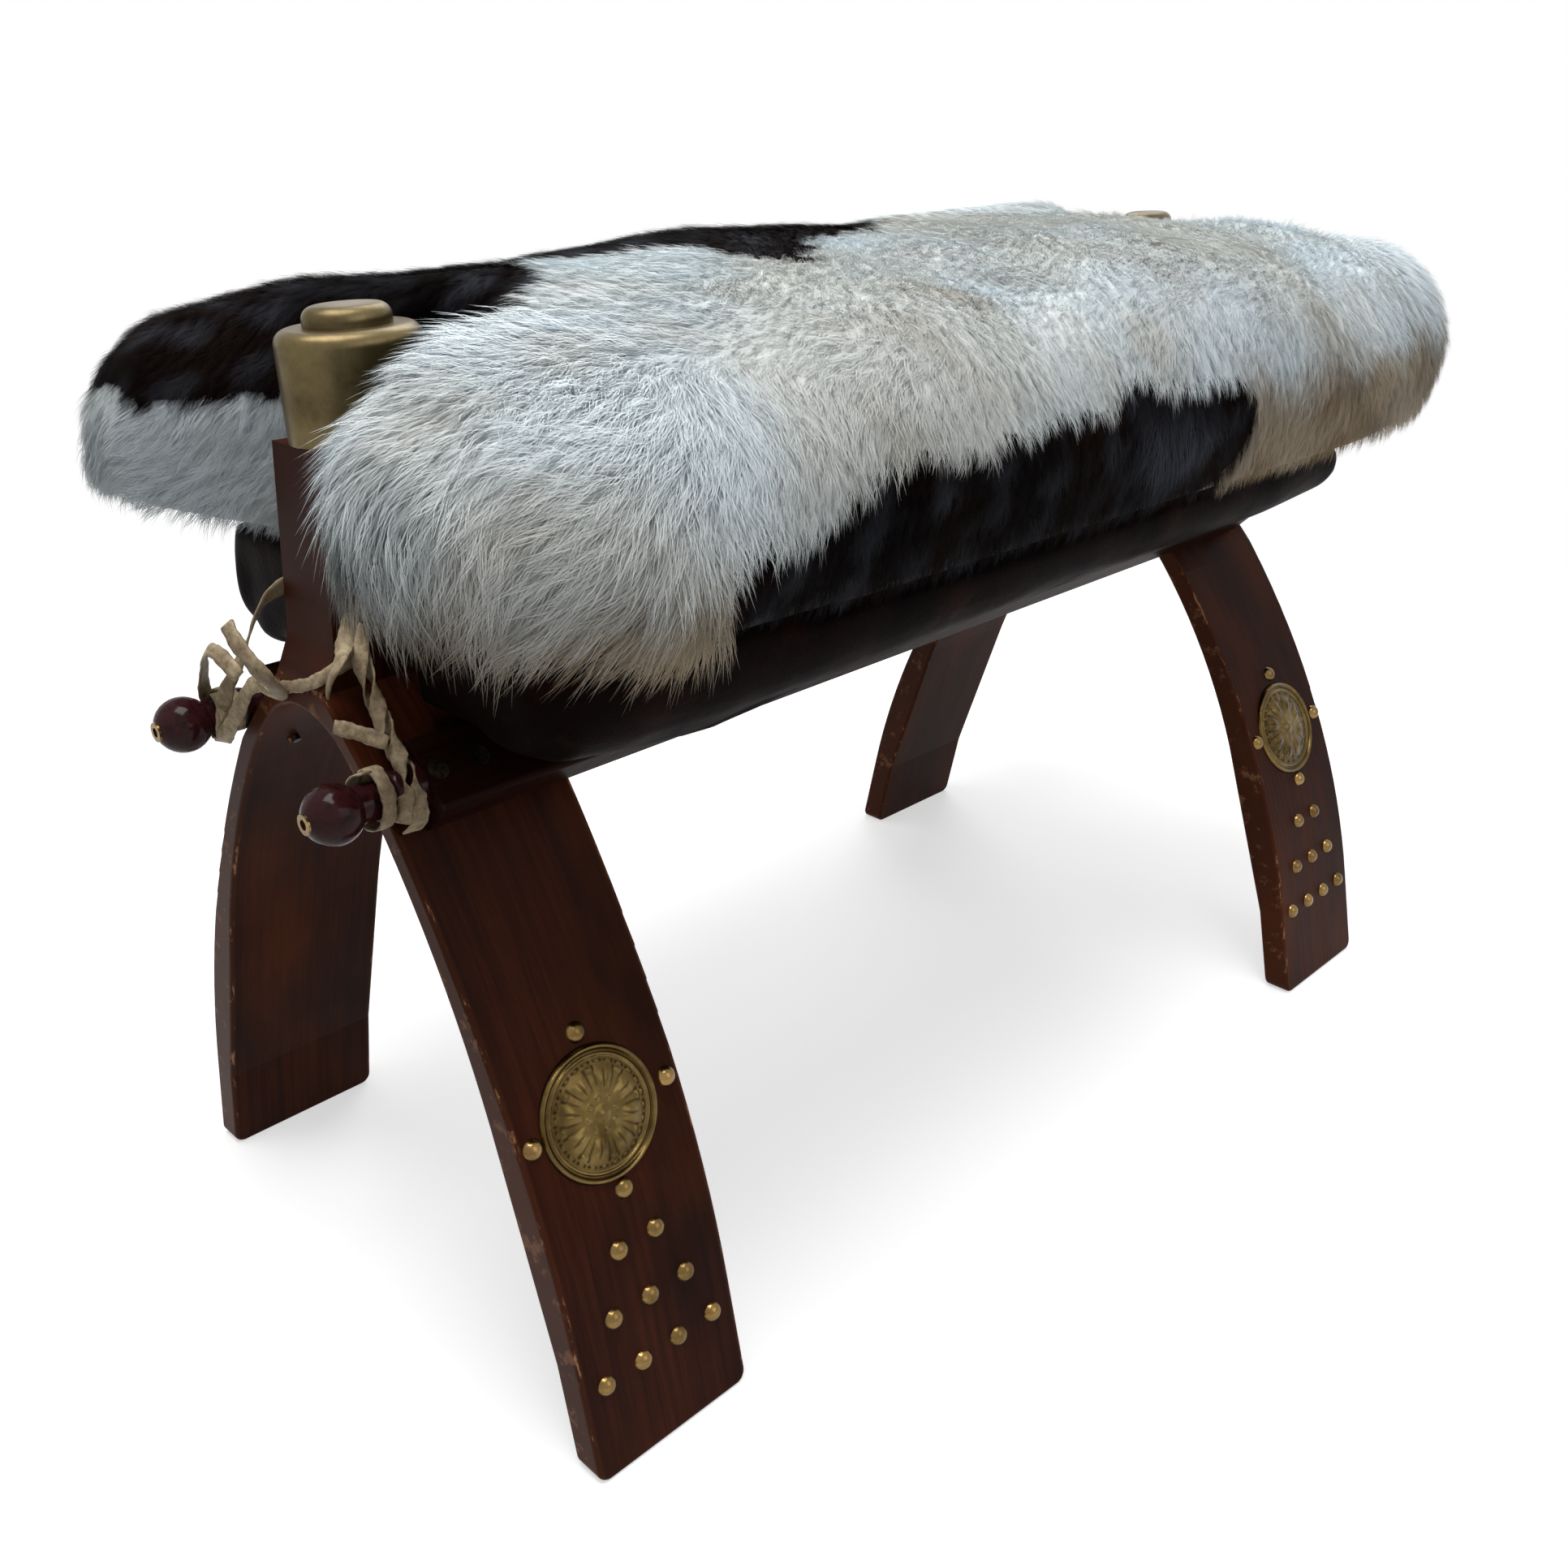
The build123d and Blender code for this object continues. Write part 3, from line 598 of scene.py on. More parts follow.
def wobble(points, size, seed):
    """A smooth random value from about -1 to 1 at each point; its lumps are about one size wide."""
    chance = np.random.default_rng(seed)
    total = np.zeros(len(points))
    for _ in range(9):
        way = chance.normal(size=3)
        way *= math.tau / size * chance.uniform(0.35, 0.75) / np.linalg.norm(way)
        total += np.sin(points @ way + chance.uniform(0, math.tau))
    return total / 3.2


print("soft helpers ready")

# %% [markdown]
# ## The hide cushion's form
#
# The cushion is crowned, with a slot at each end for the horn, so that its ends are pairs of rounded
# lobes. After the puffing, low lumps are added, because hair and fleece fill a hide unevenly.

# %% Make the cushion's skin
skin = even_copy("cushion_hide", "cushion_stuffing", 6 * mm)
puff_up(skin, 2.5 * mm)
smoother(skin)


def normals_of(item):
    """The direction that the surface faces at each point."""
    flat = np.zeros(len(item.data.vertices) * 3)
    item.data.vertices.foreach_get("normal", flat)
    return flat.reshape(-1, 3)


def gentle(value, low, high):
    """0 below low, 1 above high, and a soft rise between."""
    share = np.clip((value - low) / (high - low), 0, 1)
    return share * share * (3 - 2 * share)


at = points_of(skin)
facing = normals_of(skin)
reach = np.abs(at[:, 1] - middle)
in_slot = (1 - gentle(np.abs(at[:, 0]), 0.030, 0.040)) * gentle(reach, 0.220, 0.232)
lumps = 2.2 * mm * wobble(at, 0.11, 3) + 1.0 * mm * wobble(at, 0.045, 4)
lumps *= (1 - in_slot) * gentle(facing[:, 2], -0.6, 0.0)
skin.data.vertices.foreach_set("co", (at + facing * lumps[:, None]).ravel())
skin.data.shade_smooth()
print("skin faces", len(skin.data.polygons), "box", points_of(skin).min(0), points_of(skin).max(0))

# %% [markdown]
# ## The hide's coat
#
# The hide is a cow's: white and cream, with black and tan patches. A patch is drawn as an outline on
# the unrolled cushion: how far along it, in millimetres, and how far round it, in degrees from the
# top, positive to the right. A wobble makes the outline ragged. Colour, lie and length of the hair
# are stored on the skin's points, so that skin and hair agree.

# %% Patches of the coat
def inside(along, around, outline):
    """Which points lie inside an outline."""
    result = np.zeros(len(along), bool)
    ring = list(outline)
    for (y0, a0), (y1, a1) in zip(ring, ring[1:] + ring[:1]):
        crosses = (a0 > around) != (a1 > around)
        reach = (y1 - y0) * (around - a0) / ((a1 - a0) or 1e-9) + y0
        result ^= crosses & (along < reach)
    return result


black_patches = (
    # left side, from the front lobe over the crest to the middle of the far side
    ((-380, -200), (-380, 24), (-291, 22), (-285, 25), (-269, 24), (-247, 21), (-220, 15),
     (-188, 4), (-182, -8), (-134, -9), (-105, -8), (-96, 3), (-108, 11), (-91, 15), (-45, 9),
     (1, 4), (71, -8), (120, -14), (150, -30), (170, -70), (140, -110), (60, -135), (-20, -200)),
    # right side, under the white top, from the seam to the rear third
    ((-243, 86), (-233, 84), (-206, 86), (-189, 82), (-179, 77), (-159, 73), (-133, 72),
     (-107, 73), (-87, 77), (-64, 78), (-52, 75), (-33, 75), (0, 78), (12, 75), (20, 71),
     (40, 69), (65, 70), (96, 74), (120, 84), (127, 105), (120, 150), (60, 200), (-243, 200)),
)


crest_half_width = 0.184
crest_foot = 0.398
crest_rise = 0.083


def coat_of(at):
    """At each place the hair's colour, whether it is black, the swirl's share, and the angle."""
    along = at[:, 1] / mm + 5 * wobble(at, 0.030, 11) + 3 * wobble(at, 0.012, 12)
    around = np.degrees(np.arctan2(at[:, 0] / crest_half_width, (at[:, 2] - crest_foot) / crest_rise))
    around = around + 3.0 * wobble(at, 0.035, 13) + 2.0 * wobble(at, 0.012, 14)
    black = np.zeros(len(at), bool)
    for outline in black_patches:
        black |= inside(along, around, outline)
    # the left front lobe is white below a slanting edge, on its end and on its far side
    lobe_end = (at[:, 0] < 0.0) & (at[:, 1] < -0.276 + 0.012 * wobble(at, 0.02, 16))
    edge_height = 0.437 + 0.003 * wobble(at, 0.02, 15) + 0.1 * np.clip(at[:, 0] + 0.03, -0.03, 0.02)
    far_side = (at[:, 0] < -0.11) & (at[:, 1] < -0.27) & (at[:, 2] < 0.425)
    black &= ~(lobe_end & (at[:, 2] < edge_height)) & ~far_side
    white, cream, pale_tan, deep_tan, jet, brown, sheen_grey = [
        np.array(srgb(*tone)[:3]) for tone in (
            (230, 239, 243), (223, 221, 213), (190, 174, 150), (146, 126, 100), (8, 5, 5),
            (24, 14, 11), (96, 100, 110))]
    mottled = np.clip(0.5 + 0.5 * wobble(at, 0.05, 26) + 0.4 * wobble(at, 0.015, 27), 0, 1)[:, None]
    tan = pale_tan + (deep_tan - pale_tan) * mottled
    colour = np.tile(white, (len(at), 1))
    warm = np.clip(0.5 + 0.6 * wobble(at, 0.10, 21) + 0.25 * wobble(at, 0.03, 22), 0, 1)[:, None]
    colour = colour * (1 - 0.6 * warm) + cream * 0.6 * warm
    # tan shows low on the front right lobe and low on the rear
    low_front = gentle(around, 84, 104) * gentle(-at[:, 1], 0.235, 0.25)
    low_lobe = gentle(-at[:, 2], -0.412, -0.382) * gentle(-at[:, 1], 0.29, 0.33) * (at[:, 0] > 0)
    low_rear = gentle(around, 70, 88) * gentle(at[:, 1], 0.09, 0.12)
    tan_share = np.clip(np.maximum(np.maximum(low_front, low_lobe), low_rear * 0.95)
                        + 0.15 * wobble(at, 0.03, 23), 0, 1)[:, None]
    colour = colour * (1 - tan_share) + tan * tan_share
    dark = jet + (brown - jet) * np.clip(0.4 + 0.5 * wobble(at, 0.05, 24), 0, 1)[:, None]
    colour[black] = dark[black]
    # painted sheen: a blue-grey swirl of light on the black of the right side, where the hair whorls
    swirl = np.exp(-(((at[:, 1] - 0.055) / 0.035) ** 2) - (((around - 92) / 13) ** 2))
    grey = (np.clip(swirl * 1.2 + 0.3 * wobble(at, 0.012, 25), 0, 1) * black)[:, None]
    colour = colour * (1 - 0.6 * grey) + sheen_grey * 0.6 * grey
    return colour, black, swirl, around


at = points_of(skin) - [0, middle, 0]
facing = normals_of(skin)
coat, black, swirl, around = coat_of(at)
print("black share of the skin", round(float(black.mean()), 3))

# %% [markdown]
# ## Lie and length of the hair
#
# Hair on a hide lies along the skin. Here it runs forward along the crest and turns down over the
# sides and the ends, and it swirls a little. It is long and shaggy on the front right lobe, longest
# where it hangs over the pad there, and short and sleek on the black of the crest.

# %% Lay of the hair
def unit(rows):
    """Each row scaled to length 1."""
    return rows / np.maximum(np.linalg.norm(rows, axis=1, keepdims=True), 1e-9)


def lay_of_hair(at, facing, around):
    """The way that the hair stands and the way that it lies, at each point."""
    stand = facing.copy()
    stand[:, 2] = np.maximum(stand[:, 2], -0.2)
    stand = unit(stand)
    side = np.clip(at[:, 0] / 0.08, -1, 1)
    ones = np.ones(len(at))
    over = np.column_stack([0.35 * side, -0.8 * ones, -0.3 * ones])
    down = np.column_stack([0.2 * side, -0.15 * ones, -ones])
    below = gentle(np.abs(around), 42, 78)[:, None]
    flow = over * (1 - below) + down * below
    front = gentle(-at[:, 1], 0.16, 0.30)[:, None]
    fall = at - np.array([0.10, -0.14, 0.54])
    fall[:, 0] *= np.where(at[:, 0] > 0, 1.0, 0.5)
    flow = flow * (1 - front) + unit(fall + np.array([0.0, 0.0, -0.08])) * front
    rear = gentle(at[:, 1], 0.27, 0.37)[:, None]
    flow = flow * (1 - rear) + np.column_stack([0.3 * side, 0.3 * ones, -ones]) * rear
    across = np.cross(stand, unit(flow))
    shaggy = gentle(-at[:, 1], 0.14, 0.24)
    swirl_side = 0.36 * wobble(at, 0.10, 31) + (0.16 + 0.22 * shaggy) * wobble(at, 0.035, 32)
    flow = unit(flow) + across * swirl_side[:, None]
    flow -= stand * np.sum(flow * stand, axis=1, keepdims=True)
    return stand, unit(flow)


def slot_distance(at):
    """How far each point is from the nearer horn's slot, seen from above, in millimetres."""
    beside = np.clip(np.abs(at[:, 0]) - 0.027, 0, None)
    before = np.clip(0.240 - np.abs(at[:, 1]), 0, None)
    return np.hypot(beside, before) / mm


def length_of_hair(at, black, swirl, around):
    """Length of the hair in metres at each point."""
    length = 12.0 + 1.0 * gentle(around, 35, 60)
    front = gentle(-at[:, 1], 0.17, 0.28)
    length += np.where(at[:, 0] > 0, 3.0 + 4.0 * gentle(around, 0, 40), 2.0) * front
    length -= 3.0 * gentle(at[:, 1], 0.15, 0.30)
    length = np.where(black & (around < 60), 7.5, length)
    length = np.where(black & (around > 60), 10.0 + 12 * swirl, length)
    length *= 1 + 0.15 * wobble(at, 0.05, 33)
    low_edge = gentle(-at[:, 2], -0.400, -0.375)
    hanging = gentle(-at[:, 1], 0.232, 0.25) * gentle(at[:, 0], 0.08, 0.14)
    shortest = np.where(at[:, 0] > 0, 11.0 + 11.0 * hanging, 7.5)
    length = length * (1 - low_edge) + np.minimum(length, shortest) * low_edge
    length += 5.0 * hanging * low_edge
    return np.minimum(length, 4.0 + 0.45 * slot_distance(at)) * mm


stand, flow = lay_of_hair(at, facing, around)
length = length_of_hair(at, black, swirl, around)


def store(item, name, kind, values):
    """Stores values on an object's points; colours as FLOAT_COLOR, directions as FLOAT_VECTOR."""
    key = {"FLOAT": "value", "FLOAT_VECTOR": "vector", "FLOAT_COLOR": "color"}[kind]
    layer = item.data.attributes.get(name) or item.data.attributes.new(name, kind, "POINT")
    layer.data.foreach_set(key, np.ascontiguousarray(values, np.float32).ravel())


store(skin, "coat", "FLOAT_COLOR", np.hstack([coat, np.ones((len(at), 1))]))
store(skin, "flow", "FLOAT_VECTOR", flow)
store(skin, "stand", "FLOAT_VECTOR", stand)
store(skin, "hair_length", "FLOAT", length)
print("hair from", round(length.min() / mm, 1), "to", round(length.max() / mm, 1), "mm")

# %% Finish of skin and hair
def hair_finish(name, depth):
    """Reads the stored coat colour and multiplies it by a fine random tone and by a share; a share under
    1 is painted shade for what lies deep, such as the skin under the hairs.
    """
    finish, tree, shader = new_finish(name)
    stored = put(tree, "Attribute", {"attribute_name": "coat"})
    fine = grain(tree, (900, 900, 900), 1.0, 2.0)
    # The fine noise is random tone; the depth share under 1, used on the skin, is painted shade between
    # the hairs.
    shade = step(tree, fine, 0.3, 0.7, 0.82 * depth, 1.0 * depth)
    grey = put(tree, "CombineColor")
    for socket in grey.inputs:
        tree.links.new(shade, socket)
    feed(tree, shader,
         Base_Color=tint(tree, 1.0, stored.outputs["Color"], grey.outputs[0], "MULTIPLY"))
    plain(shader, Roughness=0.6, Specular_IOR_Level=0.015)
    return finish


# The skin is painted 6 per cent darker than the hair, as shade between the hairs.
skin_finish = hair_finish("hide_skin", 0.94)
hair_colour = hair_finish("hide_hair", 1.0)
skin.data.materials.clear()
skin.data.materials.append(skin_finish)
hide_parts("hide_cover", "cushion_stuffing")
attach(skin, "cushion")
print("hair finishes ready")

# %% [markdown]
# ## Tufts
#
# Hair grows in tufts: a few hairs share a root and lean together, and their tips close to a point.
# A tuft is seven thin bent ribbons of three triangles. There are several tufts, so that no two
# neighbours look alike, and one of them has hairs that stand up and stray. Each ribbon's points
# store how far along and how far across the hair they are.

# %% Make the tufts
def make_tuft(name, seed, lift, spread, closing, hairs=7):
    """A tuft of hair one unit long that leans along X and stands on the XY plane."""
    chance = np.random.default_rng(seed)
    points = []
    faces = []
    across = []
    along = []
    for count in range(hairs):
        root = chance.uniform(-1, 1, 2) * spread
        size = chance.uniform(0.7, 1.1)
        rise = lift * chance.uniform(0.5, 1.4)
        drift = chance.uniform(-0.24, 0.24)
        roll_angle = chance.uniform(-0.5, 0.5)
        width = np.array([0.0, math.cos(roll_angle), math.sin(roll_angle)]) * 0.5
        start = len(points)
        for share, half in ((0.0, 1.0), (0.55, 0.85), (1.0, 0.0)):
            spine = np.array([
                root[0] + size * share,
                root[1] * (1 - closing * share) + drift * share * share,
                rise * (1 - (1 - share) ** 2) + 0.06 * share * (1 - share)])
            for hand in ((-1, 1) if half else (0,)):
                points.append(spine + width * half * hand * 0.021)
                across.append(hand)
                along.append(share)
        faces += [(start, start + 2, start + 3, start + 1), (start + 2, start + 4, start + 3)]
    item = new_piece(name, points, faces, hair_colour, smooth=True)
    for key, values in (("across", across), ("along", along)):
        item.data.attributes.new(key, "FLOAT", "POINT").data.foreach_set("value", values)
    return item


tufts = [make_tuft("tuft_flat", 1, 0.14, 0.24, 0.1), make_tuft("tuft_full", 2, 0.20, 0.22, 0.35),
         make_tuft("tuft_pointed", 3, 0.17, 0.20, 0.55), make_tuft("tuft_loose", 4, 0.26, 0.26, 0.0)]
print("tufts", len(tufts), "faces each", len(tufts[0].data.polygons))

# %% [markdown]
# ## Spreading the tufts over the hide
#
# A node tree scatters points over the skin, turns a tuft to stand on the skin and to lean along the
# stored lay, and scales it by the stored length. Its inputs are the density, the thickness of the
# hair and the seed. The result is one plain mesh. The hide is covered in several parts, so that no
# part grows too heavy.

# %% Build the tree that grows hair
def build_hair_tree():
    """Geometry nodes: scatter, align, scale, realize."""
    tree = bpy.data.node_groups.new("grow_hair", "GeometryNodeTree")
    face = tree.interface
    face.new_socket("Geometry", in_out="INPUT", socket_type="NodeSocketGeometry")
    for label, kind in (("Density", "NodeSocketFloat"), ("Thickness", "NodeSocketFloat"),
                        ("Seed", "NodeSocketInt"), ("Finish", "NodeSocketMaterial")):
        face.new_socket(label, in_out="INPUT", socket_type=kind)
    face.new_socket("Geometry", in_out="OUTPUT", socket_type="NodeSocketGeometry")
    node = lambda kind: tree.nodes.new(kind)
    join = tree.links.new

    def stored(name, kind):
        reader = node("GeometryNodeInputNamedAttribute")
        reader.data_type = kind
        reader.inputs["Name"].default_value = name
        return reader.outputs[0]

    def calculate(operation, first, second):
        sum_node = node("ShaderNodeMath")
        sum_node.operation = operation
        for socket, value in zip(sum_node.inputs, (first, second)):
            if isinstance(value, (int, float)):
                socket.default_value = value
            else:
                join(value, socket)
        return sum_node.outputs[0]

    def chance(low, high, offset):
        roller = node("FunctionNodeRandomValue")
        roller.data_type = "FLOAT"
        roller.inputs[2].default_value = low
        roller.inputs[3].default_value = high
        join(calculate("ADD", given.outputs["Seed"], offset), roller.inputs["Seed"])
        return roller.outputs[1]

    given = node("NodeGroupInput")
    scatter = node("GeometryNodeDistributePointsOnFaces")
    join(given.outputs["Geometry"], scatter.inputs["Mesh"])
    join(calculate("MULTIPLY", given.outputs["Density"], stored("cover", "FLOAT")),
         scatter.inputs["Density"])
    join(given.outputs["Seed"], scatter.inputs["Seed"])
    points = scatter.outputs["Points"]
    for label, source in (("root", node("GeometryNodeInputPosition").outputs[0]),
                          ("ground", stored("stand", "FLOAT_VECTOR"))):
        keep = node("GeometryNodeStoreNamedAttribute")
        keep.data_type = "FLOAT_VECTOR"
        keep.domain = "POINT"
        keep.inputs["Name"].default_value = label
        join(points, keep.inputs["Geometry"])
        join(source, keep.inputs["Value"])
        points = keep.outputs[0]
    stand = node("FunctionNodeAlignRotationToVector")
    stand.axis = "Z"
    join(stored("stand", "FLOAT_VECTOR"), stand.inputs["Vector"])
    lean = node("FunctionNodeAlignRotationToVector")
    lean.axis = "X"
    lean.pivot_axis = "Z"
    join(stand.outputs[0], lean.inputs["Rotation"])
    join(stored("flow", "FLOAT_VECTOR"), lean.inputs["Vector"])
    twist_by = node("ShaderNodeCombineXYZ")
    join(chance(-0.42, 0.42, 7), twist_by.inputs["Z"])
    join(chance(-0.10, 0.04, 8), twist_by.inputs["Y"])
    as_turn = node("FunctionNodeEulerToRotation")
    join(twist_by.outputs[0], as_turn.inputs[0])
    turned = node("FunctionNodeRotateRotation")
    turned.rotation_space = "LOCAL"
    join(lean.outputs[0], turned.inputs["Rotation"])
    join(as_turn.outputs[0], turned.inputs["Rotate By"])
    long = calculate("MULTIPLY", stored("hair_length", "FLOAT"), chance(0.72, 1.2, 9))
    wide = calculate("ADD", calculate("MULTIPLY", long, 0.45), given.outputs["Thickness"])
    size = node("ShaderNodeCombineXYZ")
    join(long, size.inputs["X"])
    join(wide, size.inputs["Y"])
    join(long, size.inputs["Z"])
    shapes = node("GeometryNodeJoinGeometry")
    for tuft in reversed(tufts):
        source = node("GeometryNodeObjectInfo")
        source.inputs["Object"].default_value = tuft
        source.inputs["As Instance"].default_value = True
        join(source.outputs["Geometry"], shapes.inputs[0])
    pick = node("FunctionNodeRandomValue")
    pick.data_type = "INT"
    pick.inputs[4].default_value = 0
    pick.inputs[5].default_value = len(tufts) - 1
    join(given.outputs["Seed"], pick.inputs["Seed"])
    plant = node("GeometryNodeInstanceOnPoints")
    join(points, plant.inputs["Points"])
    join(shapes.outputs[0], plant.inputs["Instance"])
    plant.inputs["Pick Instance"].default_value = True
    join(pick.outputs[2], plant.inputs["Instance Index"])
    join(turned.outputs[0], plant.inputs["Rotation"])
    join(size.outputs[0], plant.inputs["Scale"])
    real = node("GeometryNodeRealizeInstances")
    join(plant.outputs[0], real.inputs[0])
    paint = node("GeometryNodeSetMaterial")
    join(real.outputs[0], paint.inputs["Geometry"])
    join(given.outputs["Finish"], paint.inputs["Material"])
    result = node("NodeGroupOutput")
    join(paint.outputs[0], result.inputs[0])
    return tree


hair_tree = build_hair_tree()
sockets = {item.name: item.identifier for item in hair_tree.interface.items_tree
           if item.item_type == "SOCKET" and item.in_out == "INPUT"}
print("hair tree inputs", sorted(sockets))

# %% Split the hide into parts
in_slot = (np.abs(at[:, 0]) < 0.031) & (np.abs(at[:, 1]) > 0.234) & (np.abs(facing[:, 2]) < 0.75)
covered = (facing[:, 2] > -0.72) & (at[:, 2] > 0.350) & ~in_slot
bands = {"front_end": (-1.0, -0.285), "front": (-0.285, -0.165), "fore_middle": (-0.165, -0.045),
         "middle": (-0.045, 0.075), "aft_middle": (0.075, 0.195), "rear": (0.195, 0.300),
         "rear_end": (0.300, 1.0)}
parts_of_hide = {}
for band, (start, stop) in bands.items():
    in_band = (at[:, 1] >= start) & (at[:, 1] < stop)
    parts_of_hide[f"fur_{band}_right"] = in_band & (at[:, 0] >= 0)
    parts_of_hide[f"fur_{band}_left"] = in_band & (at[:, 0] < 0)
print("parts", len(parts_of_hide))

# %% Grow the hair
def read_back(mesh, name, kind):
    """A stored value of a mesh as an array, a row for each point."""
    width = 1 if kind == "value" else 3
    flat = np.zeros(len(mesh.vertices) * width, np.float32)
    mesh.attributes[name].data.foreach_get(kind, flat)
    return flat.reshape(-1, width)


def bake_map(mesh):
    """A UV map of the unrolled hide, in which each hair has a small patch at its root."""
    root = read_back(mesh, "root", "vector") - np.array([0, middle, 0])
    upright = (root[:, 2] - crest_foot) / crest_rise
    sideways = root[:, 0] / crest_half_width
    inwards = np.clip(1 - np.hypot(upright, sideways), 0, 1) * np.sign(root[:, 1])
    flat = np.column_stack([np.arctan2(sideways, upright) * 0.14, root[:, 1] + inwards * 0.08])
    flat[:, 0] += read_back(mesh, "across", "value")[:, 0] * 0.35 * mm
    flat[:, 1] += read_back(mesh, "along", "value")[:, 0] * 1.4 * mm
    flat -= flat.min(0)
    flat /= flat.max() * 1.01
    corners = np.zeros(len(mesh.loops), np.int32)
    mesh.loops.foreach_get("vertex_index", corners)
    layer = mesh.uv_layers.new(name="OFBake")
    layer.data.foreach_set("uv", (flat[corners] + 0.004).ravel().astype(np.float32))


def soften(mesh, share):
    """Lets the hair face as the skin below it does, by a share, so that it shades softly."""
    own = np.zeros(len(mesh.vertices) * 3, np.float32)
    mesh.vertices.foreach_get("normal", own)
    mixed = read_back(mesh, "ground", "vector") * share + own.reshape(-1, 3) * (1 - share)
    mesh.normals_split_custom_set_from_vertices(unit(mixed))


tufts_per_square_metre = 165000.0
hair_thickness = 3.4 * mm
share_of_ground = 0.85


def grow(name, chosen, seed):
    """Grows the hair of one part of the hide as a plain mesh."""
    store(skin, "cover", "FLOAT", (chosen & covered).astype(np.float32))
    modifier = skin.modifiers.new("hair", "NODES")
    modifier.node_group = hair_tree
    modifier[sockets["Density"]] = tufts_per_square_metre
    modifier[sockets["Thickness"]] = hair_thickness
    modifier[sockets["Seed"]] = seed
    modifier[sockets["Finish"]] = hair_colour
    view = bpy.context.evaluated_depsgraph_get()
    mesh = bpy.data.meshes.new_from_object(skin.evaluated_get(view))
    skin.modifiers.clear()
    mesh.name = name
    bake_map(mesh)
    soften(mesh, share_of_ground)
    item = bpy.data.objects.new(name, mesh)
    bpy.context.scene.collection.objects.link(item)
    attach(item, "cushion")
    return item


total = 0
for seed, (name, chosen) in enumerate(parts_of_hide.items(), 1):
    fur = grow(name, chosen, seed)
    triangles = len(fur.data.loops) - 2 * len(fur.data.polygons)
    total += triangles
    print(name, "triangles", triangles)
for tuft in tufts:
    bpy.data.objects.remove(tuft)
print("hair triangles in all", total)

# %% [markdown]
# ## The leather pad
#
# Under the hide lies a stuffed pad of dark leather. Its lips hang over the rails. It gets the same
# treatment as the cushion, with less swelling, and then shallow creases that only sink, so that it
# stays clear of the wood. The leather is nearly black and satin, browner in patches and creases.

# %% Leather
pad_leather, tree, shader = new_finish("pad_leather")
clouds = grain(tree, (24, 24, 24), 1.0, 4.0, 0.6)
pebbles = put(tree, "TexVoronoi", {"feature": "DISTANCE_TO_EDGE"}, Scale=1.0, Randomness=1.0)
tree.links.new(place_on(tree, (520, 520, 520)), pebbles.inputs["Vector"])
creases = grain(tree, (70, 26, 70), 1.0, 6.0, 0.65, 0.6)
base = ramp(tree, clouds, [(0.30, srgb(7, 4, 4)), (0.55, srgb(18, 9, 8)),
                           (0.75, srgb(34, 16, 13))])
creased = tint(tree, step(tree, creases, 0.55, 0.75, 0.0, 0.3), base, srgb(52, 30, 25))
feed(tree, shader, Base_Color=creased, Roughness=step(tree, clouds, 0.3, 0.7, 0.62, 0.46))
plain(shader, Specular_IOR_Level=0.02)
relief(tree, shader, combine(tree, "ADD", combine(tree, "MULTIPLY", pebbles.outputs[0], 0.5),
                             creases), 0.0008, 0.6)
print("leather nodes", len(tree.nodes))

# %% Make the pad
pad = even_copy("stuffed_pad", "pad_stuffing", 5 * mm)
puff_up(pad, 2.0 * mm)
smoother(pad)
at_pad = points_of(pad)
out_pad = normals_of(pad)
folds = np.clip(wobble(at_pad * [1, 0.45, 1], 0.035, 41), 0, 2) ** 2 * 1.3 * mm
at_pad -= out_pad * (folds * gentle(np.abs(out_pad[:, 0]) + np.abs(out_pad[:, 1]), 0.2, 0.7))[:, None]
pad.data.vertices.foreach_set("co", at_pad.ravel())
pad.data.shade_smooth()
pad.data.materials.clear()
pad.data.materials.append(pad_leather)
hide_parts("leather_pad", "pad_stuffing")
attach(pad, "cushion")
print("pad faces", len(pad.data.polygons), "box", at_pad.min(0), at_pad.max(0))

# %% [markdown]
# ## Rawhide lacing
#
# Flat strips of rawhide, about 7 mm wide, tie the rails to the horns. They are wound by hand, so no
# two loops lie alike. A strip follows a smooth curve through a few points, and at each point it is
# told which way its flat side faces. Its section is a flat oval that cups a little, and its edges
# are cut by eye, so they waver. Together the strips lie where the frame's round lashing lies.

# %% Rawhide
rawhide, tree, shader = new_finish("rawhide")
fibres = grain(tree, (330, 330, 330), 1.0, 5.0, 0.65)
stains = grain(tree, (45, 45, 45), 1.0, 3.0)
base = ramp(tree, fibres, [(0.3, srgb(126, 108, 82)), (0.6, srgb(190, 172, 140))])
stained = tint(tree, step(tree, stains, 0.40, 0.64, 0.0, 0.65), base, srgb(92, 72, 52))
feed(tree, shader, Base_Color=stained)
plain(shader, Roughness=0.5, Specular_IOR_Level=0.2)
relief(tree, shader, fibres, 0.0006, 0.5)
print("rawhide nodes", len(tree.nodes))

# %% Make one strip
def smooth_path(points, steps):
    """Points along a smooth NURBS curve with the given control points."""
    curve = bpy.data.curves.new("path", "CURVE")
    curve.dimensions = "3D"
    spline = curve.splines.new("NURBS")
    spline.points.add(len(points) - 1)
    for control, point in zip(spline.points, points):
        control.co = (*point, 1.0)
    spline.order_u = 3
    spline.use_endpoint_u = True
    spline.resolution_u = steps
    holder = bpy.data.objects.new("path", curve)
    mesh = bpy.data.meshes.new_from_object(holder)
    found = np.array([tuple(vertex.co) for vertex in mesh.vertices])
    bpy.data.objects.remove(holder)
    bpy.data.curves.remove(curve)
    bpy.data.meshes.remove(mesh)
    return found


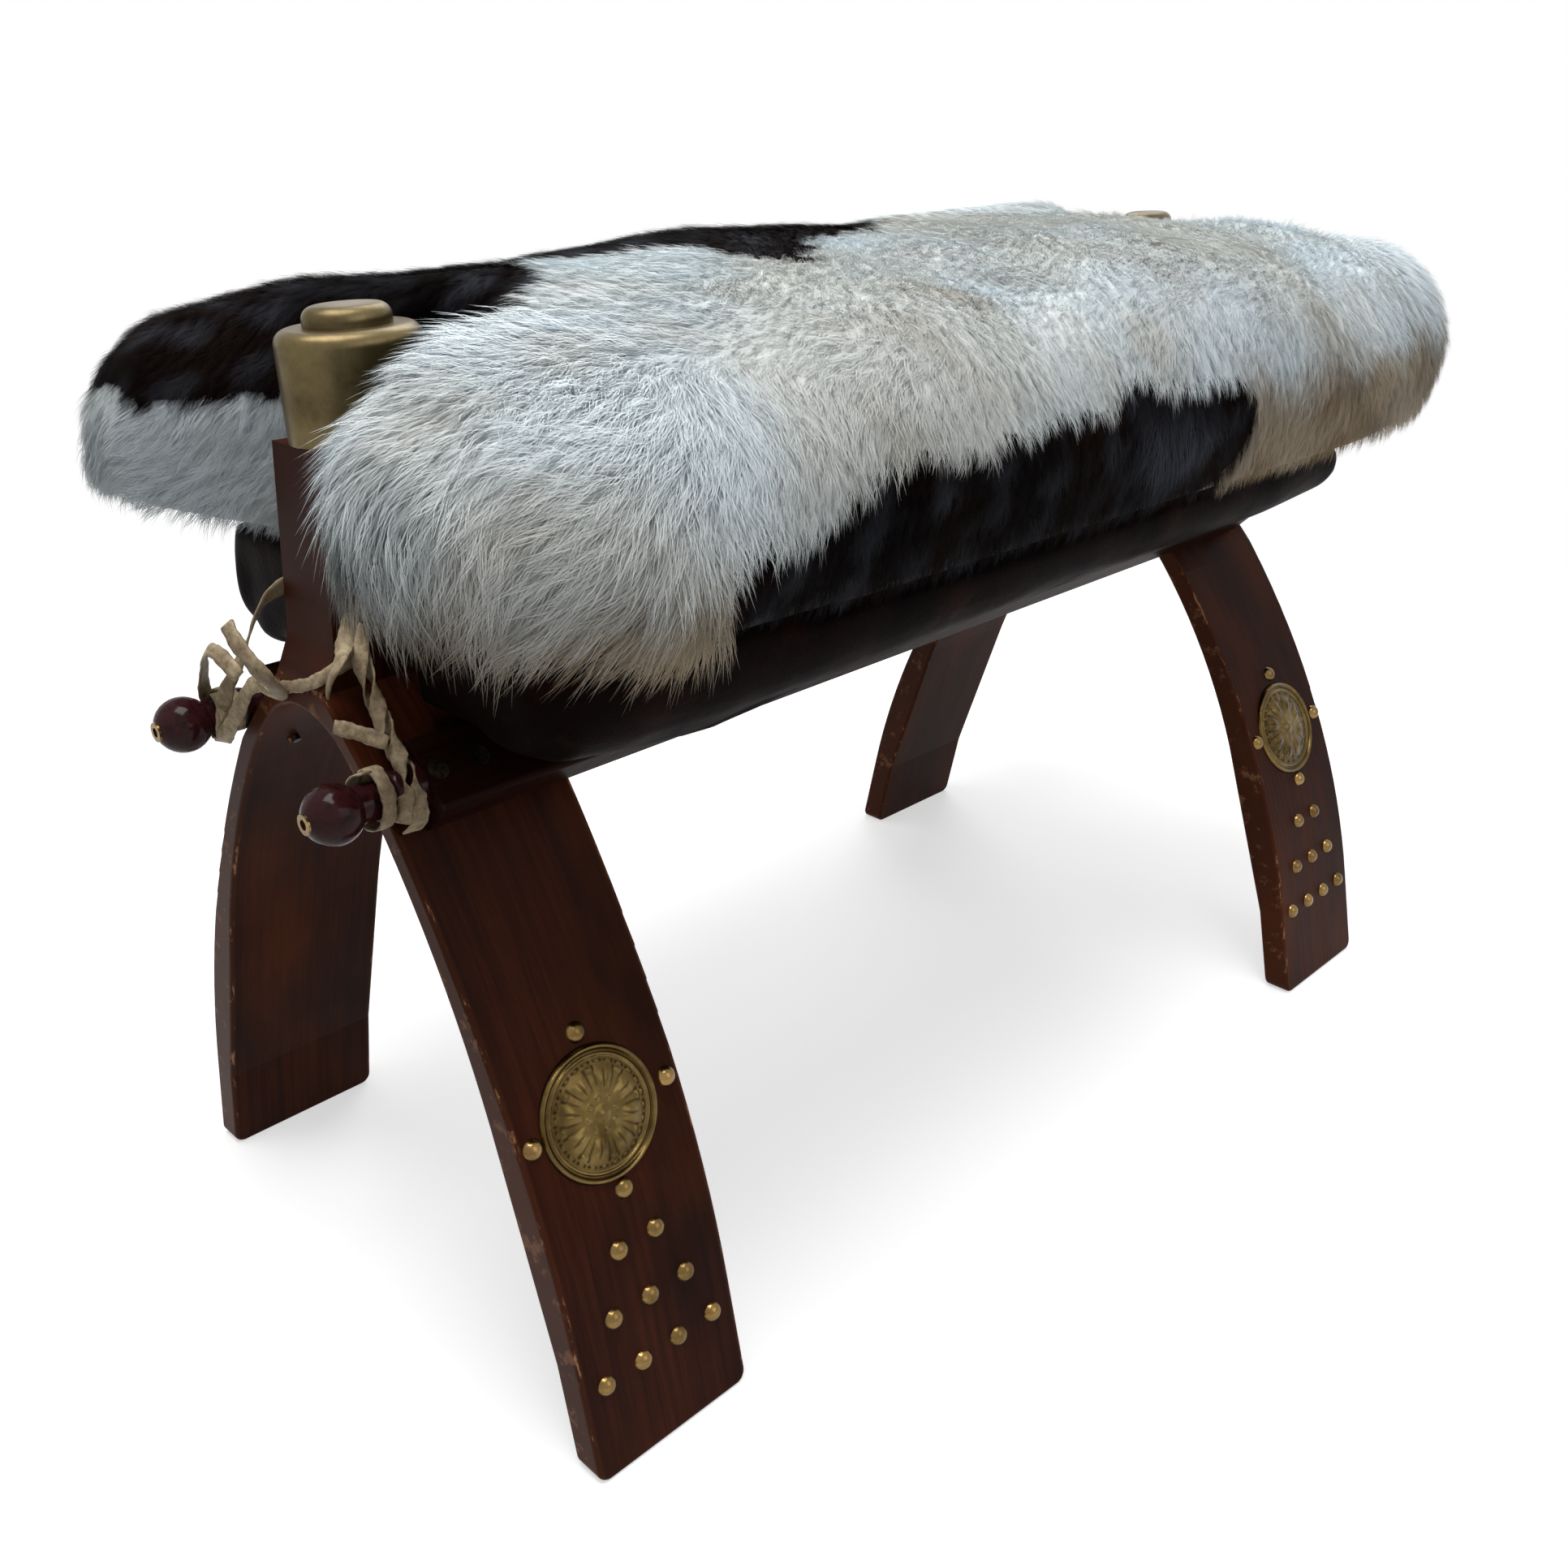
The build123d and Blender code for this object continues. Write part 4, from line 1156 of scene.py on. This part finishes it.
def strip_mesh(points, outward, width, thick, seed):
    """Points and faces of a flat strip along control points in millimetres."""
    control = np.array(points, float) * mm + [0, middle, 0]
    line = smooth_path(control, 12)
    outs = smooth_path(np.array(outward, float), 12)
    chance = np.random.default_rng(seed)
    waver = chance.uniform(0, math.tau, 4)
    ring = []
    section = [(-1, -0.35), (-0.92, 0.5), (-0.3, 0.62), (0.3, 0.62), (0.92, 0.5), (1, -0.35),
               (0.5, -0.28), (-0.5, -0.28)]
    count = len(line)
    for index in range(count):
        before = line[max(index - 1, 0)]
        after = line[min(index + 1, count - 1)]
        tangent = unit((after - before)[None])[0]
        out = outs[index] - tangent * float(outs[index] @ tangent)
        out = unit(out[None])[0]
        wide = np.cross(tangent, out)
        travel = index * 0.35
        half = width / 2 * (1 + 0.07 * math.sin(travel + waver[0])
                            + 0.04 * math.sin(2.7 * travel + waver[1]))
        thin = thick * (1 + 0.12 * math.sin(1.7 * travel + waver[2]))
        for a, b in section:
            ring.append(line[index] + wide * a * half + out * b * thin)
    faces = grid_faces(count, len(section), ring=True)
    faces.append(tuple(reversed(range(len(section)))))
    faces.append(tuple(range((count - 1) * len(section), count * len(section))))
    return ring, faces


def lacing(name, strips, replaced):
    """Joins strips into one piece in place of a frame lashing."""
    points = []
    faces = []
    for seed, (route, outward, width, thick) in enumerate(strips):
        ring, new_faces = strip_mesh(route, outward, width * mm, thick * mm, seed)
        faces += [tuple(index + len(points) for index in face) for face in new_faces]
        points += list(ring)
    item = new_piece(name, points, faces, rawhide)
    face_outwards(item)
    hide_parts(replaced)
    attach(item, "frame")
    return item


print("strip maker ready")

# %% Routes of the front strips
def around_axis(points, centre_x, centre_z):
    """Outward directions, away from a rail's axis, for points in millimetres."""
    return [(x - centre_x, 0, z - centre_z) for x, _, z in points]


left_neck = (-64.0, 296.0)
right_neck = (64.0, 296.0)
left_lace = [(-21, -258, 364), (-22, -285, 364), (-22.5, -308, 364), (-23, -322, 359),
             (-29, -327, 349), (-34, -330, 336), (-42, -333, 323), (-52, -336, 310),
             (-55, -337, 297), (-57, -337, 288), (-64, -336, 285), (-73, -335, 288),
             (-75.5, -334, 297), (-73, -336, 308), (-64, -338, 318), (-57, -340, 328),
             (-48, -340, 333), (-38, -340, 331), (-30, -338, 324)]
left_out = [(-1, 0, 0), (-1, 0, 0), (-1, 0, 0), (-1, -0.4, 0.1), (-0.7, -0.7, 0.3),
            (-0.5, -0.8, 0.3), (0.2, -0.9, 0.4), (0.6, -0.7, 0.3), (1, -0.3, 0), (0.8, -0.2, -0.7),
            (0, -0.2, -1), (-0.8, -0.2, -0.6), (-1, -0.3, 0), (-0.8, -0.4, 0.6), (-0.4, -0.7, 0.8),
            (-0.2, -0.8, 0.8), (0, -0.8, 0.8), (0.3, -0.8, 0.6), (0.5, -0.8, 0.2)]
bright_lace = [(-22, -343, 351), (-17, -344, 347), (-10, -343, 341), (-4, -340, 333),
               (-3, -334, 325), (-9, -331, 319), (-18, -331, 318), (-27, -333, 322),
               (-33, -336, 313), (-42, -338, 301), (-52, -339, 290), (-60, -337, 284),
               (-66, -333, 284)]
bright_out = [(0.3, -0.9, 0.4), (0.3, -0.9, 0.4), (0.3, -0.9, 0.3), (0.6, -0.8, 0.1),
              (0.5, -0.5, -0.7), (0, -0.6, -0.8), (0, -0.8, -0.5), (-0.2, -0.9, 0.2),
              (0.3, -0.9, 0.3), (0.5, -0.8, 0.3), (0.5, -0.8, 0.1), (0.3, -0.4, -0.9), (0, 0, -1)]
neck_turns = [(-55, -331, 290), (-51.5, -330, 299), (-56, -330, 306), (-65, -331, 308.5),
              (-74, -332, 303), (-75.5, -333, 293), (-69, -334, 285), (-60, -335, 286),
              (-53, -336, 293), (-53, -336, 302), (-60, -336, 308)]
across_lace = [(-24, -326, 318), (-18, -328.6, 320), (-8, -329.2, 323), (2, -328.8, 326),
               (11, -327.5, 329), (18, -325, 333), (23, -318, 338), (24, -305, 341)]
across_out = [(0, -1, 0.2), (0, -1, 0.2), (0, -1, 0.2), (0, -1, 0.2), (0.1, -1, 0.2),
              (0.6, -0.8, 0.2), (1, -0.4, 0.1), (1, 0, 0)]
hook_lace = [(21.5, -262, 364), (22, -290, 363), (22.5, -310, 358), (25, -316, 349),
             (31, -321, 345), (33, -326, 341), (31, -329, 335), (30, -329.5, 330)]
hook_out = [(1, 0, 0), (1, 0, 0), (1, 0, 0), (0.9, -0.4, 0.3), (0.4, -0.8, 0.4), (-0.2, -0.9, 0.3),
            (-0.4, -0.9, 0.2), (-0.4, -0.9, 0)]
short_end = [(60, -322, 316), (54, -327, 319), (47, -332, 321), (41, -334, 321)]
short_out = [(0.2, -0.7, 0.7), (0.2, -0.8, 0.6), (0.2, -0.9, 0.4), (0.2, -0.9, 0.4)]
neck_right = [(54, -331, 291), (51.5, -331, 300), (56, -331, 307), (64, -331, 309),
              (73, -332, 304), (76, -333, 296), (73, -334, 287), (64, -335, 284),
              (55, -336, 288), (52, -336, 297), (56, -336, 306), (65, -336, 309)]
print("front routes", len(left_lace), "points in the longest")

# %% Twisted pair of strips
def twisted(route, radius, turns, start):
    """Route and outward directions of a strip that winds round a line."""
    line = np.array(route, float)
    count = len(line)
    wound = []
    outs = []
    for index in range(count):
        tangent = line[min(index + 1, count - 1)] - line[max(index - 1, 0)]
        tangent = tangent / np.linalg.norm(tangent)
        first = np.cross(tangent, (0, 0, 1))
        first /= np.linalg.norm(first)
        second = np.cross(tangent, first)
        angle = start + math.tau * turns * index / (count - 1)
        away = first * math.cos(angle) + second * math.sin(angle)
        wound.append(tuple(line[index] + away * radius))
        outs.append(tuple(away))
    return wound, outs


pair_line = [(24, -309, 352), (29, -312, 345), (33, -313.5, 338), (37, -314, 331.5),
             (42, -315, 325), (47.5, -316, 319.5), (53, -317, 314.5), (59, -318, 310),
             (65, -319, 306), (71, -320, 301)]
first_route, first_outs = twisted(pair_line, 2.6, 1.5, 0.4)
second_route, second_outs = twisted(pair_line, 2.6, 1.5, 0.4 + math.pi)
first_route += [(77, -321, 298), (80, -322, 292), (79.5, -324, 286), (75, -326, 283.5)]
first_outs += [(0.8, -0.4, 0.5), (1, -0.3, 0), (0.8, -0.3, -0.6), (0, -0.2, -1)]
second_route += [(75, -325, 299.5), (76, -327, 294), (76, -328, 288)]
second_outs += [(0.6, -0.7, 0.3), (0.6, -0.8, 0), (0.6, -0.8, 0)]
front_strips = [
    (left_lace, left_out, 7.0, 1.1),
    (bright_lace, bright_out, 7.4, 1.2),
    (neck_turns, around_axis(neck_turns, *left_neck), 6.4, 1.0),
    (across_lace, across_out, 5.6, 0.9),
    (hook_lace, hook_out, 7.2, 1.1),
    (short_end, short_out, 6.4, 1.0),
    (neck_right, around_axis(neck_right, *right_neck), 6.4, 1.0),
    (first_route, first_outs, 6.6, 1.0),
    (second_route, second_outs, 7.0, 1.0),
]
front_lacing = lacing("front_rawhide", front_strips, "front_lashing")


def to_rear(strips):
    """The same strips at the rear arch: turned half round, so that hands stay the same way."""
    turned = []
    for route, outward, width, thick in strips:
        turned.append(([(-x, -y, z) for x, y, z in route], [(-x, -y, z) for x, y, z in outward],
                       width, thick))
    return turned


rear_lacing = lacing("rear_rawhide", to_rear(front_strips), "rear_lashing")
print("lacing faces", len(front_lacing.data.polygons) + len(rear_lacing.data.polygons))

# %% [markdown]
# ## Splinters at the screw tips
#
# The rail screws come out under the arms of the arches and have pushed out small chips of raw wood.
# The tips are found on the frame's screws, and a few short wedges are set round each.

# %% Make the splinters
raw_wood, tree, shader = new_finish("raw_wood")
lines = grain(tree, (500, 500, 500), 1.0, 3.0)
feed(tree, shader, Base_Color=ramp(tree, lines, [(0.3, srgb(196, 116, 60)),
                                                 (0.7, srgb(238, 178, 120))]))
plain(shader, Roughness=0.7)
print("raw wood nodes", len(tree.nodes))


def screw_tips():
    """The inner ends of the eight screws, with the directions that they point in."""
    cad = points_of(nodes["rail_screws"])
    tips = []
    for side in (-1, 1):
        for end in (-1, 1):
            for low, high in ((0.2795, 0.2955), (0.2995, 0.3155)):
                reach = (cad[:, 1] - middle) * end
                chosen = cad[(cad[:, 0] * side > 0) & (reach > low) & (reach < high)]
                if len(chosen):
                    lowest = chosen[np.argsort(chosen[:, 2])[:6]].mean(axis=0)
                    tips.append((lowest, np.array([-side, 0, -1]) / math.sqrt(2)))
    return tips


def make_splinters():
    """Wedges of raw wood round each screw tip."""
    chance = np.random.default_rng(8)
    points = []
    faces = []
    for tip, way in screw_tips():
        first = np.array([0.0, 1.0, 0.0])
        second = np.cross(way, first)
        for count in range(5):
            angle = chance.uniform(0, math.tau)
            outward = first * math.cos(angle) + second * math.sin(angle)
            sideways = np.cross(way, outward)
            foot = tip - way * 3.2 * mm + outward * chance.uniform(1.0, 2.2) * mm
            half = chance.uniform(0.8, 1.5) * mm
            tall = chance.uniform(1.5, 3.4) * mm
            thick = chance.uniform(0.5, 0.9) * mm
            start = len(points)
            peak = foot + way * tall + outward * chance.uniform(0.5, 2.0) * mm
            points += [foot - sideways * half - outward * thick, foot + sideways * half - outward * thick,
                       foot + sideways * half + outward * thick, foot - sideways * half + outward * thick,
                       peak]
            faces += [(start, start + 1, start + 4), (start + 1, start + 2, start + 4),
                      (start + 2, start + 3, start + 4), (start + 3, start, start + 4),
                      (start + 3, start + 2, start + 1, start)]
    item = new_piece("screw_splinters", points, faces, raw_wood, smooth=False)
    face_outwards(item)
    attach(item, "frame")
    return item


splinters = make_splinters()
print("screw tips", len(screw_tips()), "splinter faces", len(splinters.data.polygons))

# %% [markdown]
# ## Floor
#
# The floor is one wide pale plane. To the camera it adds light of its own, so that it reads as white
# while the stool's shadow still shows on it. Far from the stool it turns into plain white, so that
# no horizon shows.

# %% Lay the floor
floor_finish, tree, shader = new_finish("pale_floor")
reach = put(tree, "VectorMath", {"operation": "LENGTH"})
tree.links.new(place_on(tree), reach.inputs[0])
far = step(tree, reach.outputs["Value"], 0.55, 1.35)
feed(tree, shader, Base_Color=tint(tree, far, (0.74, 0.74, 0.74, 1), (0, 0, 0, 1)))
plain(shader, Roughness=0.9, Specular_IOR_Level=0.0)
glow = put(tree, "Emission", Color=(1, 1, 1, 1))
own_light = step(tree, far, 0, 1, 0.56, 1.0)
feed(tree, glow, Strength=combine(tree, "MULTIPLY", seen_as_white(tree), own_light))
both = put(tree, "AddShader")
tree.links.new(shader.outputs[0], both.inputs[0])
tree.links.new(glow.outputs[0], both.inputs[1])
tree.links.new(both.outputs[0], tree.nodes["Material Output"].inputs["Surface"])
floor = new_piece("floor", [(-6, -6, 0), (6, -6, 0), (6, 6, 0), (-6, 6, 0)], [(0, 1, 2, 3)],
                  floor_finish, smooth=False)
print("floor laid")
